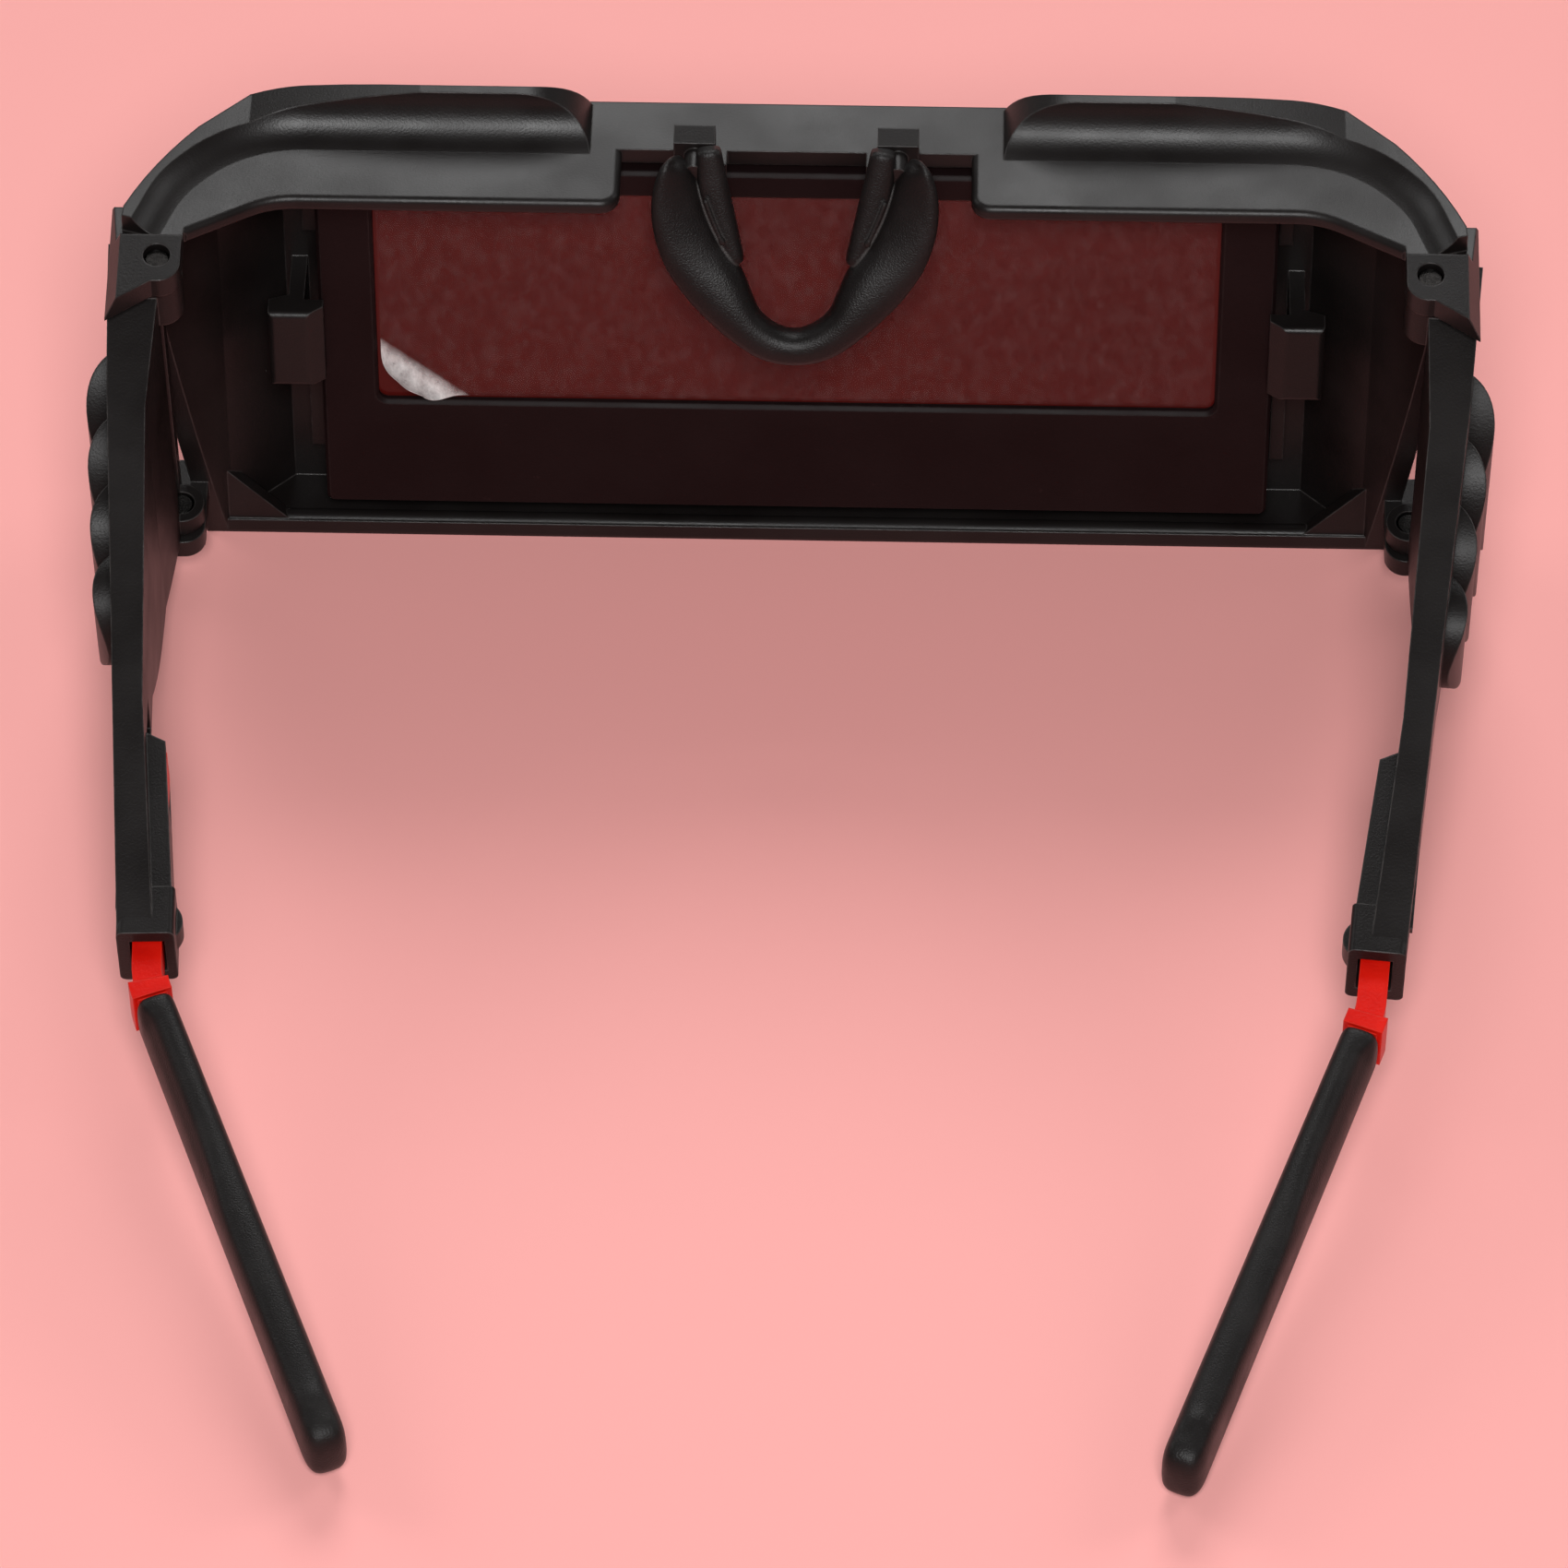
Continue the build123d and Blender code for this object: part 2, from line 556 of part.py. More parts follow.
frame_shell = shell()
cheek_plate = cheek_wall()
extras = [seat_ribs(), corner_gussets(), mould_mark()]
for side in SIDES.values():
    extras += [cheek_cove(side), filter_clip(side), nose_tab(side), strip_lip(side)]
    extras.append(bevelled_lug(side))
    extras.append(lug(side, LUG_LOW, LOWER_LUG_THICK, LUG_REACH))
with BuildPart() as front_frame:
    add(frame_shell)
    add(cheek_plate)
    for extra in extras:
        add(extra)
write(front_frame, "front_frame")


# ---- Cover plate and filter cartridge ----
def slab(name, y_rear, thick, width, height, z, corner=0.6):
    """A flat plate square to Y, written as its own piece."""
    with BuildPart() as plate:
        with BuildSketch(Plane.XZ.offset(-y_rear)):
            with Locations((0, z)):
                RectangleRounded(width, height, corner)
        extrude(amount=-thick)
    write(plate, name)
    return plate


slab("front_cover_plate", COVER_Y, COVER_THICK, FILTER_WIDTH, FILTER_HEIGHT, FILTER_Z)

CASE_SPLIT = FILTER_REAR + 2.8
BAND_LOW = FILTER_LOW + CASE_RIM
BAND_HIGH = WINDOW_Z - WINDOW_HEIGHT / 2 - GLASS_MARGIN
BAND_Z = (BAND_LOW + BAND_HIGH) / 2
BAND_HEIGHT = BAND_HIGH - BAND_LOW
SENSOR_X = BATTERY_RADIUS + 3.0
SOLAR_X = SENSOR_X + 4.0 + SOLAR_LENGTH / 2
SOLAR_HEIGHT = BAND_HEIGHT - 2.0

with BuildPart() as filter_rear_case:
    with BuildSketch(Plane.XZ.offset(-FILTER_REAR)):
        with Locations((0, FILTER_Z)):
            RectangleRounded(FILTER_WIDTH, FILTER_HEIGHT, 1.0)
    extrude(amount=-(CASE_SPLIT - FILTER_REAR))
    with BuildSketch(Plane.XZ.offset(-FILTER_REAR - CASE_REAR_WALL)):
        with Locations((0, FILTER_Z)):
            Rectangle(FILTER_WIDTH - 2 * CASE_RIM, FILTER_HEIGHT - 2 * CASE_RIM)
    extrude(amount=-FILTER_THICK, mode=Mode.SUBTRACT)
    with BuildSketch(Plane.XZ.offset(-FILTER_REAR)):
        with Locations((0, WINDOW_Z)):
            RectangleRounded(WINDOW_WIDTH, WINDOW_HEIGHT, WINDOW_CORNER)
    extrude(amount=-CASE_REAR_WALL, mode=Mode.SUBTRACT)
    rear_face = filter_rear_case.faces().sort_by(Axis.Y)[0]
    chamfer(rear_face.outer_wire().edges(), length=0.4)
    chamfer(filter_rear_case.faces().sort_by(Axis.Y)[0].inner_wires()[0].edges(), length=0.4)
write(filter_rear_case, "filter_rear_case")

with BuildPart() as filter_front_case:
    with BuildSketch(Plane.XZ.offset(-CASE_SPLIT)):
        with Locations((0, FILTER_Z)):
            RectangleRounded(FILTER_WIDTH, FILTER_HEIGHT, 1.0)
    extrude(amount=-(FILTER_FRONT - CASE_SPLIT))
    with BuildSketch(Plane.XZ.offset(-CASE_SPLIT)):
        with Locations((0, FILTER_Z)):
            Rectangle(FILTER_WIDTH - 2 * CASE_RIM, FILTER_HEIGHT - 2 * CASE_RIM)
    extrude(amount=-(FILTER_FRONT - CASE_FRONT_WALL - CASE_SPLIT), mode=Mode.SUBTRACT)
    with BuildSketch(Plane.XZ.offset(-FILTER_FRONT)):
        with Locations((0, WINDOW_Z)):
            RectangleRounded(WINDOW_WIDTH, WINDOW_HEIGHT, WINDOW_CORNER)
        with Locations((SOLAR_X, BAND_Z), (-SOLAR_X, BAND_Z)):
            Rectangle(SOLAR_LENGTH - 2.0, SOLAR_HEIGHT - 2.0)
        with Locations((SENSOR_X, BAND_Z), (-SENSOR_X, BAND_Z)):
            Circle(SENSOR_RADIUS + 0.2)
    extrude(amount=CASE_FRONT_WALL, mode=Mode.SUBTRACT)
write(filter_front_case, "filter_front_case")

# The optical stack, from the face outward.
stack = [
    ("rear_polariser", POLARISER_THICK),
    ("rear_liquid_crystal_cell", CELL_THICK),
    ("middle_polariser", POLARISER_THICK),
    ("front_liquid_crystal_cell", CELL_THICK),
    ("front_polariser", POLARISER_THICK),
    ("uv_ir_filter_glass", GLASS_THICK),
]
GLASS_WIDTH = WINDOW_WIDTH + 2 * GLASS_MARGIN
GLASS_HEIGHT = WINDOW_HEIGHT + 2 * GLASS_MARGIN
layer_y = FILTER_REAR + CASE_REAR_WALL
for layer_name, layer_thick in stack:
    slab(layer_name, layer_y, layer_thick, GLASS_WIDTH, GLASS_HEIGHT, WINDOW_Z, 0.5)
    layer_y += layer_thick

film_y = FILTER_REAR + CASE_REAR_WALL - INNER_GAP - FILM_THICK
slab("inner_film", film_y, FILM_THICK, WINDOW_WIDTH - 0.8, WINDOW_HEIGHT - 0.8, WINDOW_Z, 1.0)

board_y = FILTER_REAR + CASE_REAR_WALL + INNER_GAP
slab("circuit_board", board_y, BOARD_THICK, GLASS_WIDTH, BAND_HEIGHT - 0.6, BAND_Z)
cell_y = FILTER_FRONT - CASE_FRONT_WALL - INNER_GAP - SOLAR_THICK

with BuildPart() as battery:
    with BuildSketch(Plane.XZ.offset(-board_y - BOARD_THICK - INNER_GAP)):
        with Locations((0, BAND_Z)):
            Circle(BATTERY_RADIUS)
    extrude(amount=-BATTERY_THICK)
    chamfer(battery.edges().filter_by(GeomType.CIRCLE), length=0.2)
write(battery, "battery")

for name, side in SIDES.items():
    with BuildPart() as solar_cell:
        with BuildSketch(Plane.XZ.offset(-cell_y)):
            with Locations((side * SOLAR_X, BAND_Z)):
                Rectangle(SOLAR_LENGTH, SOLAR_HEIGHT)
        extrude(amount=-SOLAR_THICK)
    write(solar_cell, f"solar_cell_{name}")

    with BuildPart() as arc_sensor:
        with BuildSketch(Plane.XZ.offset(-board_y - BOARD_THICK)):
            with Locations((side * SENSOR_X, BAND_Z)):
                Circle(SENSOR_RADIUS)
        extrude(amount=-(FILTER_FRONT - board_y - BOARD_THICK - 0.1))
        fillet(arc_sensor.faces().sort_by(Axis.Y)[-1].edges(), radius=0.6)
    write(arc_sensor, f"arc_sensor_{name}")


# ---- Nose piece: a soft saddle whose two ends hook on the frame's tabs ----
nose_up = Vector(0, sin(radians(NOSE_LEAN)), cos(radians(NOSE_LEAN)))
nose_front = Vector(0, cos(radians(NOSE_LEAN)), -sin(radians(NOSE_LEAN)))
nose_base = Vector(0, STRIP_Y - NOSE_BACK, FRAME_HEIGHT - NOSE_DROP)
nose_plane = Plane(origin=nose_base, x_dir=(1, 0, 0), z_dir=-nose_front)
with BuildPart() as nose_piece:
    with BuildSketch(nose_plane.offset(-NOSE_THICK / 2)):
        with BuildLine():
            top_out = (NOSE_TAB_X + 2.4, 22.6)
            top_in = (NOSE_TAB_X - 2.6, 22.2)
            bottom = (0, -2.3)
            notch = (0, 2.0)
            Spline(bottom, (7.2, 0.4), (12.2, 4.8), (16.2, 12.5), top_out, tangents=((1, 0), (-0.7, 1)))
            Line(top_out, top_in)
            Spline(top_in, (6.4, 13.0), (4.6, 6.4), notch, tangents=((-0.2, -1), (-1, 0)))
            Line(notch, bottom)
        make_face()
        mirror(about=Plane.YZ)
    extrude(amount=NOSE_THICK)
    with BuildSketch(Plane.XZ.offset(-STRIP_Y)):
        with Locations(*[(s * NOSE_TAB_X, FRAME_HEIGHT + STUD_LEVEL) for s in (-1, 1)]):
            Circle(STUD_RADIUS + PIN_CLEARANCE)
    extrude(amount=NOSE_TAB_DEPTH + STUD_LENGTH + MOVING_GAP, mode=Mode.SUBTRACT)
write(nose_piece, "nose_piece")


# ---- Hinge pins ----
def hinge_pin(name, low, high):
    """A plain steel pin from low to high along the hinge axis."""
    side = SIDES[name]
    with BuildPart() as pin:
        with BuildSketch(square_plane(side, low)):
            Circle(PIN_RADIUS)
        extrude(amount=side * (high - low))
        chamfer(pin.edges().filter_by(GeomType.CIRCLE), length=0.25)
    return pin


# ---- Temples ----
def shield_top(s):
    """Height of the arm's upper edge, which falls in a straight line to the box end."""
    peak = KNUCKLE_TOP - ARM_DROP
    return peak + (ARM_HIGH - peak) * s / BOX_END


def shield_foot(s):
    """Height of the shield's lower edge, which rises from the hinge to the slim arm."""
    share = min(max((s - SHIELD_FOOT) / (SHIELD_TAIL - SHIELD_FOOT), 0.0), 1.0)
    return KNUCKLE_LOW + (ARM_LOW - KNUCKLE_LOW) * share


def arm_outer(s):
    """Outer face of the arm at s, outward of the axis."""
    return ARM_OUTER + (ARM_END_OUTER - ARM_OUTER) * max(s - TAPER_START, 0.0) / (BOX_END - TAPER_START)


def arm_blade(side, lean):
    """The arm's plan and its side view, each extruded, and what they share."""
    with BuildPart() as blade:
        with BuildSketch(square_plane(side, -HIGH / 2, lean)):
            with BuildLine():
                Polyline((ARM_START, ARM_NECK), (ARM_START, ARM_OUTER), (TAPER_START, ARM_OUTER))
                Polyline((TAPER_START, ARM_OUTER), (BOX_END, ARM_END_OUTER), (BOX_END, 0.0))
                Polyline((BOX_END, 0.0), (HOUSING_START, ARM_INNER), (NECK_END, ARM_INNER))
                Polyline((NECK_END, ARM_INNER), (NECK_START, ARM_NECK), (ARM_START, ARM_NECK))
            make_face()
        extrude(amount=side * HIGH)
        with BuildSketch(side_plane(side, -20.0, lean)):
            with BuildLine():
                front_top = (ARM_START, shield_top(0.0))
                Polyline((ARM_START, KNUCKLE_LOW), front_top, (0.0, shield_top(0.0)), (BOX_END, ARM_HIGH))
                Polyline((BOX_END, ARM_HIGH), (BOX_END, ARM_LOW), (SHIELD_TAIL, ARM_LOW))
                middle = 0.5 * (SHIELD_TAIL + SHIELD_FOOT)
                sag = (middle + SHIELD_SAG, shield_foot(middle) - SHIELD_SAG)
                ThreePointArc((SHIELD_TAIL, ARM_LOW), sag, (SHIELD_FOOT, KNUCKLE_LOW))
                Line((SHIELD_FOOT, KNUCKLE_LOW), (ARM_START, KNUCKLE_LOW))
            make_face()
        extrude(amount=-side * 40.0, mode=Mode.INTERSECT)
    return blade.part


def louvre(side, lean, count):
    """A raised fin on the arm's outer face: a bulge in plan, round seen from the side."""
    start = LOUVRE_START + count * LOUVRE_PITCH
    stop = start + LOUVRE_PITCH + LOUVRE_LAP
    middle = (start + stop) / 2 + LOUVRE_LAP
    rise = LOUVRE_RISE - count * LOUVRE_FALL
    radius = (shield_top(stop) - shield_foot(stop)) / 2 - LOUVRE_MARGIN
    centre = (shield_top(start) + shield_foot(start)) / 2
    base = ARM_END_OUTER - WALL / 2
    with BuildPart() as fin:
        with BuildSketch(square_plane(side, -HIGH / 2, lean)):
            with BuildLine():
                tip = (stop, arm_outer(stop) + LOUVRE_STEP)
                ThreePointArc((start, arm_outer(start)), (middle, arm_outer(middle) + rise), tip)
                Polyline(tip, (stop, base), (start, base), (start, arm_outer(start)))
            make_face()
        extrude(amount=side * HIGH)
        with BuildSketch(side_plane(side, 0, lean)):
            with Locations((stop - radius, centre)):
                Circle(radius)
        extrude(amount=-side * 20.0, mode=Mode.INTERSECT)
    return fin.part


def temple(name):
    side = SIDES[name]
    lean = arm_lean(name)
    blade = arm_blade(side, lean)
    fins = [louvre(side, lean, count) for count in range(LOUVRE_COUNT)]
    with BuildPart() as arm:
        add(blade)
        for fin in fins:
            add(fin)
        # Knuckles round the hinge axis, joined to the inner face.
        for low, length in ((KNUCKLE_LOW, LOWER_KNUCKLE), (KNUCKLE_TOP - UPPER_KNUCKLE, UPPER_KNUCKLE)):
            with BuildSketch(square_plane(side, low, lean)):
                Circle(KNUCKLE_RADIUS)
                with Locations((0, 0.5 * (ARM_INNER + 1.0))):
                    Rectangle(2 * KNUCKLE_RADIUS, ARM_INNER + 1.0)
            extrude(amount=side * length)
        # Housing of the stem's channel on the inner face.
        housing = BOX_INNER + 0.4
        with BuildSketch(square_plane(side, STEM_W - CHANNEL_HEIGHT / 2 - 1.2, lean)):
            with BuildLine():
                bevel_end = (HOUSING_START + 1.5, BOX_INNER + 1.5)
                Polyline((HOUSING_START, ARM_INNER + 0.5), bevel_end, (BOX_END - BOX_LENGTH, housing))
                Polyline((BOX_END - BOX_LENGTH, housing), (BOX_END, housing), (BOX_END, ARM_INNER + 0.5))
                Line((BOX_END, ARM_INNER + 0.5), (HOUSING_START, ARM_INNER + 0.5))
            make_face()
        extrude(amount=side * (CHANNEL_HEIGHT + 2.4))
        # Box end: a collar round the channel's mouth.
        with BuildSketch(end_plane(side, BOX_END - BOX_LENGTH, lean)):
            box_outer = ARM_END_OUTER + 0.1
            with Locations((side * (BOX_INNER + box_outer) / 2, STEM_W)):
                RectangleRounded(box_outer - BOX_INNER, CHANNEL_HEIGHT + 2 * BOX_WALL, 0.8)
        extrude(amount=BOX_LENGTH)
        # Spring tongue on the inner face of the box.
        with BuildSketch(square_plane(side, STEM_W - TONGUE_WIDTH / 2, lean)):
            with BuildLine():
                root = (BOX_END - BOX_LENGTH + 0.4, BOX_INNER + 0.3)
                rear = (root[0] + TONGUE_LENGTH, root[1])
                ThreePointArc(root, (root[0] + TONGUE_LENGTH / 2, BOX_INNER - TONGUE_RISE), rear)
                Line(rear, root)
            make_face()
        extrude(amount=side * TONGUE_WIDTH)
        # Rib along the outer face, behind the louvres.
        with BuildSketch(side_plane(side, ARM_END_OUTER - 0.8, lean)):
            with BuildLine():
                rib_start = (SHIELD_TAIL + 4.0, 0.5 * (shield_top(SHIELD_TAIL) + ARM_LOW))
                Line(rib_start, (BOX_END - BOX_LENGTH, STEM_W))
            trace(line_width=RIB_WIDTH)
        extrude(amount=-side * (0.8 + RIB_RISE))
        # Pin bore and the stem's channel.
        with BuildSketch(square_plane(side, -HIGH / 2, lean)):
            Circle(PIN_RADIUS + PIN_CLEARANCE)
        extrude(amount=side * HIGH, mode=Mode.SUBTRACT)
        with BuildSketch(end_plane(side, BOX_END, lean)):
            with Locations((side * STEM_CENTRE, STEM_W)):
                Rectangle(CHANNEL_THICK, CHANNEL_HEIGHT)
        extrude(amount=-(BOX_END - STEM_START + STEM_TRAVEL + 1.0), mode=Mode.SUBTRACT)
    return arm


def stem(name):
    """Red stem: a flat bar with a stop collar and a thinner core inside the sleeve."""
    side = SIDES[name]
    lean = arm_lean(name)
    with BuildPart() as bar:
        with BuildSketch(square_plane(side, STEM_W - STEM_HEIGHT / 2, lean)):
            with BuildLine():
                stem_line(name, STEM_START, SLEEVE_START - 0.1)
            trace(line_width=STEM_THICK)
        extrude(amount=side * STEM_HEIGHT)
        with BuildSketch(square_plane(side, STEM_W - STEM_HEIGHT / 2 - COLLAR_PROUD, lean)):
            with BuildLine():
                stem_line(name, COLLAR_START, COLLAR_START + COLLAR_LENGTH)
            trace(line_width=STEM_THICK + 2 * COLLAR_PROUD)
        extrude(amount=side * (STEM_HEIGHT + 2 * COLLAR_PROUD))
        with BuildSketch(square_plane(side, STEM_W - CORE_HEIGHT / 2, lean)):
            with BuildLine():
                stem_line(name, COLLAR_START, SLEEVE_END - CORE_SHORT)
            trace(line_width=CORE_THICK)
        extrude(amount=side * CORE_HEIGHT)
    return bar


def sleeve(name):
    """Rubber sleeve over the core, rounded along its edges, closed at the tip."""
    side = SIDES[name]
    lean = arm_lean(name)
    with BuildPart() as grip:
        with BuildSketch(square_plane(side, STEM_W - SLEEVE_HEIGHT / 2, lean)):
            with BuildLine():
                stem_line(name, SLEEVE_START, SLEEVE_END)
            trace(line_width=SLEEVE_THICK)
        extrude(amount=side * SLEEVE_HEIGHT)
        fillet(grip.edges(), radius=1.4)
        with BuildSketch(square_plane(side, STEM_W - CORE_HEIGHT / 2 - CORE_GAP, lean)):
            with BuildLine():
                stem_line(name, SLEEVE_START - 1.0, SLEEVE_END - CORE_SHORT + CORE_GAP)
            trace(line_width=CORE_THICK + 2 * CORE_GAP)
        extrude(amount=side * (CORE_HEIGHT + 2 * CORE_GAP), mode=Mode.SUBTRACT)
    return grip


for name in SIDES:
    write(temple(name), f"temple_{name}")
    write(stem(name), f"stem_{name}")
    write(sleeve(name), f"ear_sleeve_{name}")
    upper_low = KNUCKLE_TOP - UPPER_KNUCKLE + 0.2
    write(hinge_pin(name, upper_low, LUG_TOP - PIN_RECESS), f"upper_hinge_pin_{name}")
    lower_high = KNUCKLE_LOW + LOWER_KNUCKLE - 0.2
    write(hinge_pin(name, LUG_LOW + PIN_RECESS, lower_high), f"lower_hinge_pin_{name}")
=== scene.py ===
import json
import math

import bmesh
import bpy
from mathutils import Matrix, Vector


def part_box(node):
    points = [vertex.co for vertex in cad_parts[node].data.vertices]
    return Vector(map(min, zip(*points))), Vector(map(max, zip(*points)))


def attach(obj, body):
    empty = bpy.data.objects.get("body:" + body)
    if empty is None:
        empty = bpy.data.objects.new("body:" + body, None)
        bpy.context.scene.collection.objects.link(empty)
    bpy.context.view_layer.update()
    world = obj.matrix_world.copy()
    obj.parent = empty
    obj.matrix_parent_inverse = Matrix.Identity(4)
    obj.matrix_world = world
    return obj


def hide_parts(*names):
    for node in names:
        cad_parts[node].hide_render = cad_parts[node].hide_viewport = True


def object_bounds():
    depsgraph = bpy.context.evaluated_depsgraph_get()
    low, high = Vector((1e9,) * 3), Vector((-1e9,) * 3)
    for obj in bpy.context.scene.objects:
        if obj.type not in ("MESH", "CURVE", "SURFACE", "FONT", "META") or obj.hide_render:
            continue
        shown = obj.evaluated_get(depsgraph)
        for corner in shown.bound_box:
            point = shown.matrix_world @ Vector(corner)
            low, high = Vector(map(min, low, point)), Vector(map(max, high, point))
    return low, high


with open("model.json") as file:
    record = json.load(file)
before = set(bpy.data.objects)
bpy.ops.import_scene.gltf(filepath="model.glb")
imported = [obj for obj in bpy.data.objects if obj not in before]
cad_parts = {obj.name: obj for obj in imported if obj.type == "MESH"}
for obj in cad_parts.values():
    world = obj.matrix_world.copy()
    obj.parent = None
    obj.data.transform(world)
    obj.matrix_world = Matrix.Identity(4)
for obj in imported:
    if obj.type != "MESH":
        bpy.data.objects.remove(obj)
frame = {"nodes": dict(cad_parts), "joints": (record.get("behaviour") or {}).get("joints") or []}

# Welding goggles lying upside down. Units are metres, in the CAD model's own frame:
# +X is the wearer's left, +Y is forward, +Z is up. MM turns millimetres into metres.
MM = 0.001
cad_low, cad_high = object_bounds()
nodes = frame["nodes"]
joints = {joint["name"]: joint for joint in frame["joints"]}


# ---------------------------------------------------------------- node materials
BLACK_LOW = (0.0062, 0.0048, 0.0046)  # black plastic where its clouds are darkest
BLACK_HIGH = (0.0095, 0.0078, 0.0075)  # and where they are lightest
CASE_LOW = (0.0070, 0.0030, 0.0032)
CASE_HIGH = (0.0095, 0.0045, 0.0047)
WEAR_AND_HIGHLIGHT_TONE = (0.120, 0.108, 0.104)  # pale edge tone of black plastic: partly where handling has polished it, partly a painted highlight
PLASTIC_EDGE = 0.28 * MM  # how far in from an edge the polish and the painted highlight reach
RUBBER_EDGE = 0.5 * MM
STEM_EDGE = 0.25 * MM


class Shader:
    """A node material with a Principled shader, and short helpers for its nodes."""

    def __init__(self, name):
        self.material = bpy.data.materials.new(name)
        self.material.use_nodes = True
        self.tree = self.material.node_tree
        self.principled = self.tree.nodes["Principled BSDF"]
        self.coords = self.add("ShaderNodeTexCoord", {}).outputs["Object"]

    def plug(self, value, socket):
        """Links value to the socket if it is an output, or else sets it there as a constant."""
        if isinstance(value, bpy.types.NodeSocket):
            self.tree.links.new(value, socket)
        elif socket.type == "RGBA":
            socket.default_value = (*value, 1.0)
        else:
            socket.default_value = value

    def add(self, kind, inputs, **settings):
        """A new node with its settings made and its inputs plugged."""
        node = self.tree.nodes.new(kind)
        for key, value in settings.items():
            setattr(node, key, value)
        for key, value in inputs.items():
            self.plug(value, node.inputs[key])
        return node

    def surface(self, **inputs):
        """Plugs the Principled shader's inputs, whose names have _ for each space."""
        for key, value in inputs.items():
            self.plug(value, self.principled.inputs[key.replace("_", " ")])

    def noise(self, scale, detail=3.0, roughness=0.5, stretch=None):
        """Noise over the object's own coordinates; scale is in cells per metre."""
        place = self.coords
        if stretch:
            mapping = self.add("ShaderNodeMapping", {"Vector": place, "Scale": stretch})
            place = mapping.outputs["Vector"]
        inputs = {"Vector": place, "Scale": scale, "Detail": detail, "Roughness": roughness}
        return self.add("ShaderNodeTexNoise", inputs).outputs["Fac"]

    def ramp(self, value, low, high, start=0.0, end=1.0):
        """Maps value from start..end onto low..high, clamped."""
        inputs = {"Value": value, "From Min": start, "From Max": end, "To Min": low, "To Max": high}
        return self.add("ShaderNodeMapRange", inputs).outputs["Result"]

    def mix(self, factor, first, second):
        """Mixes two colours, each an output or a constant, by a factor output."""
        inputs = {0: factor, 6: first, 7: second}
        return self.add("ShaderNodeMix", inputs, data_type="RGBA").outputs[2]

    def blend(self, factor, first, second):
        """Mixes two plain values by a factor output."""
        inputs = {0: factor, 2: first, 3: second}
        return self.add("ShaderNodeMix", inputs, data_type="FLOAT").outputs[0]

    def calculate(self, operation, *terms):
        """A sum or product of terms, each an output or a constant."""
        return self.add("ShaderNodeMath", dict(enumerate(terms)), operation=operation).outputs[0]

    def dot(self, first, second):
        """The dot product of two vectors, each an output or a constant."""
        inputs = {0: first, 1: second}
        return self.add("ShaderNodeVectorMath", inputs, operation="DOT_PRODUCT").outputs["Value"]

    def edge_mask(self, radius):
        """0 on flat faces, rising towards 1 within the radius of an edge; and the normal there."""
        rounded = self.add("ShaderNodeBevel", {"Radius": radius}, samples=6).outputs["Normal"]
        flat = self.add("ShaderNodeNewGeometry", {}).outputs["Normal"]
        return self.ramp(self.dot(rounded, flat), 0.0, 1.0, start=0.995, end=0.80), rounded

    def bump(self, height, distance, **normal):
        """A normal that follows the height, whose full range is the distance in metres."""
        inputs = {"Height": height, "Distance": distance, **normal}
        return self.add("ShaderNodeBump", inputs).outputs["Normal"]


def scaled(colour, factor):
    """The colour, lighter or darker by the factor."""
    return tuple(factor * channel for channel in colour)


def moulded_plastic(name, dark, light, rough, grain=0.00002, edge_wear_and_highlight=0.5, gloss=0.25):
    """Satin black moulding: fine grain, cloudy gloss, scuffs, and paler edges, partly polished by
    handling and partly a painted highlight.
    """
    s = Shader(name)
    clouds = s.noise(90.0, detail=4.0)
    colour = s.mix(s.ramp(clouds, 0.0, 1.0, start=0.35, end=0.65), dark, light)
    scuffs = s.noise(420.0, detail=5.0, roughness=0.75, stretch=(1.0, 0.35, 1.0))
    colour = s.mix(s.ramp(scuffs, 0.0, 0.30, start=0.67, end=0.73), colour, scaled(light, 3.5))
    edges, rounded = s.edge_mask(PLASTIC_EDGE)
    worn_and_highlit = s.ramp(s.noise(500.0, roughness=0.6), 0.25 * edge_wear_and_highlight, edge_wear_and_highlight, start=0.35, end=0.65)
    # paler edges: partly wear from handling, partly a painted highlight
    colour = s.mix(s.calculate("MULTIPLY", edges, worn_and_highlit), colour, WEAR_AND_HIGHLIGHT_TONE)
    cloudy_rough = s.ramp(clouds, rough - 0.06, rough + 0.06, start=0.3, end=0.7)
    polished_rough = s.calculate("MULTIPLY_ADD", edges, -0.14, cloudy_rough)
    normal = s.bump(s.noise(3800.0, detail=2.0, roughness=0.6), grain, Normal=rounded)
    s.surface(Base_Color=colour, Roughness=polished_rough, Normal=normal, Specular_IOR_Level=gloss)
    return s.material


def soft_rubber(name, colour, dusty_colour, rough):
    """Black rubber: soft broad sheen, fine tooth and faint dusty patches."""
    s = Shader(name)
    dust = s.noise(160.0, detail=5.0, roughness=0.65)
    base = s.mix(s.ramp(dust, 0.0, 0.5, start=0.5, end=0.78), colour, dusty_colour)
    edges, rounded = s.edge_mask(RUBBER_EDGE)
    # edges paler towards the shared edge tone: partly wear, partly a painted highlight
    base = s.mix(s.ramp(edges, 0.0, 0.35), base, WEAR_AND_HIGHLIGHT_TONE)
    dusty_rough = s.ramp(dust, rough - 0.05, rough + 0.1, start=0.3, end=0.7)
    normal = s.bump(s.noise(5200.0, detail=2.0), 0.00005, Normal=rounded)
    s.surface(Base_Color=base, Roughness=dusty_rough, Normal=normal, Specular_IOR_Level=0.22)
    return s.material


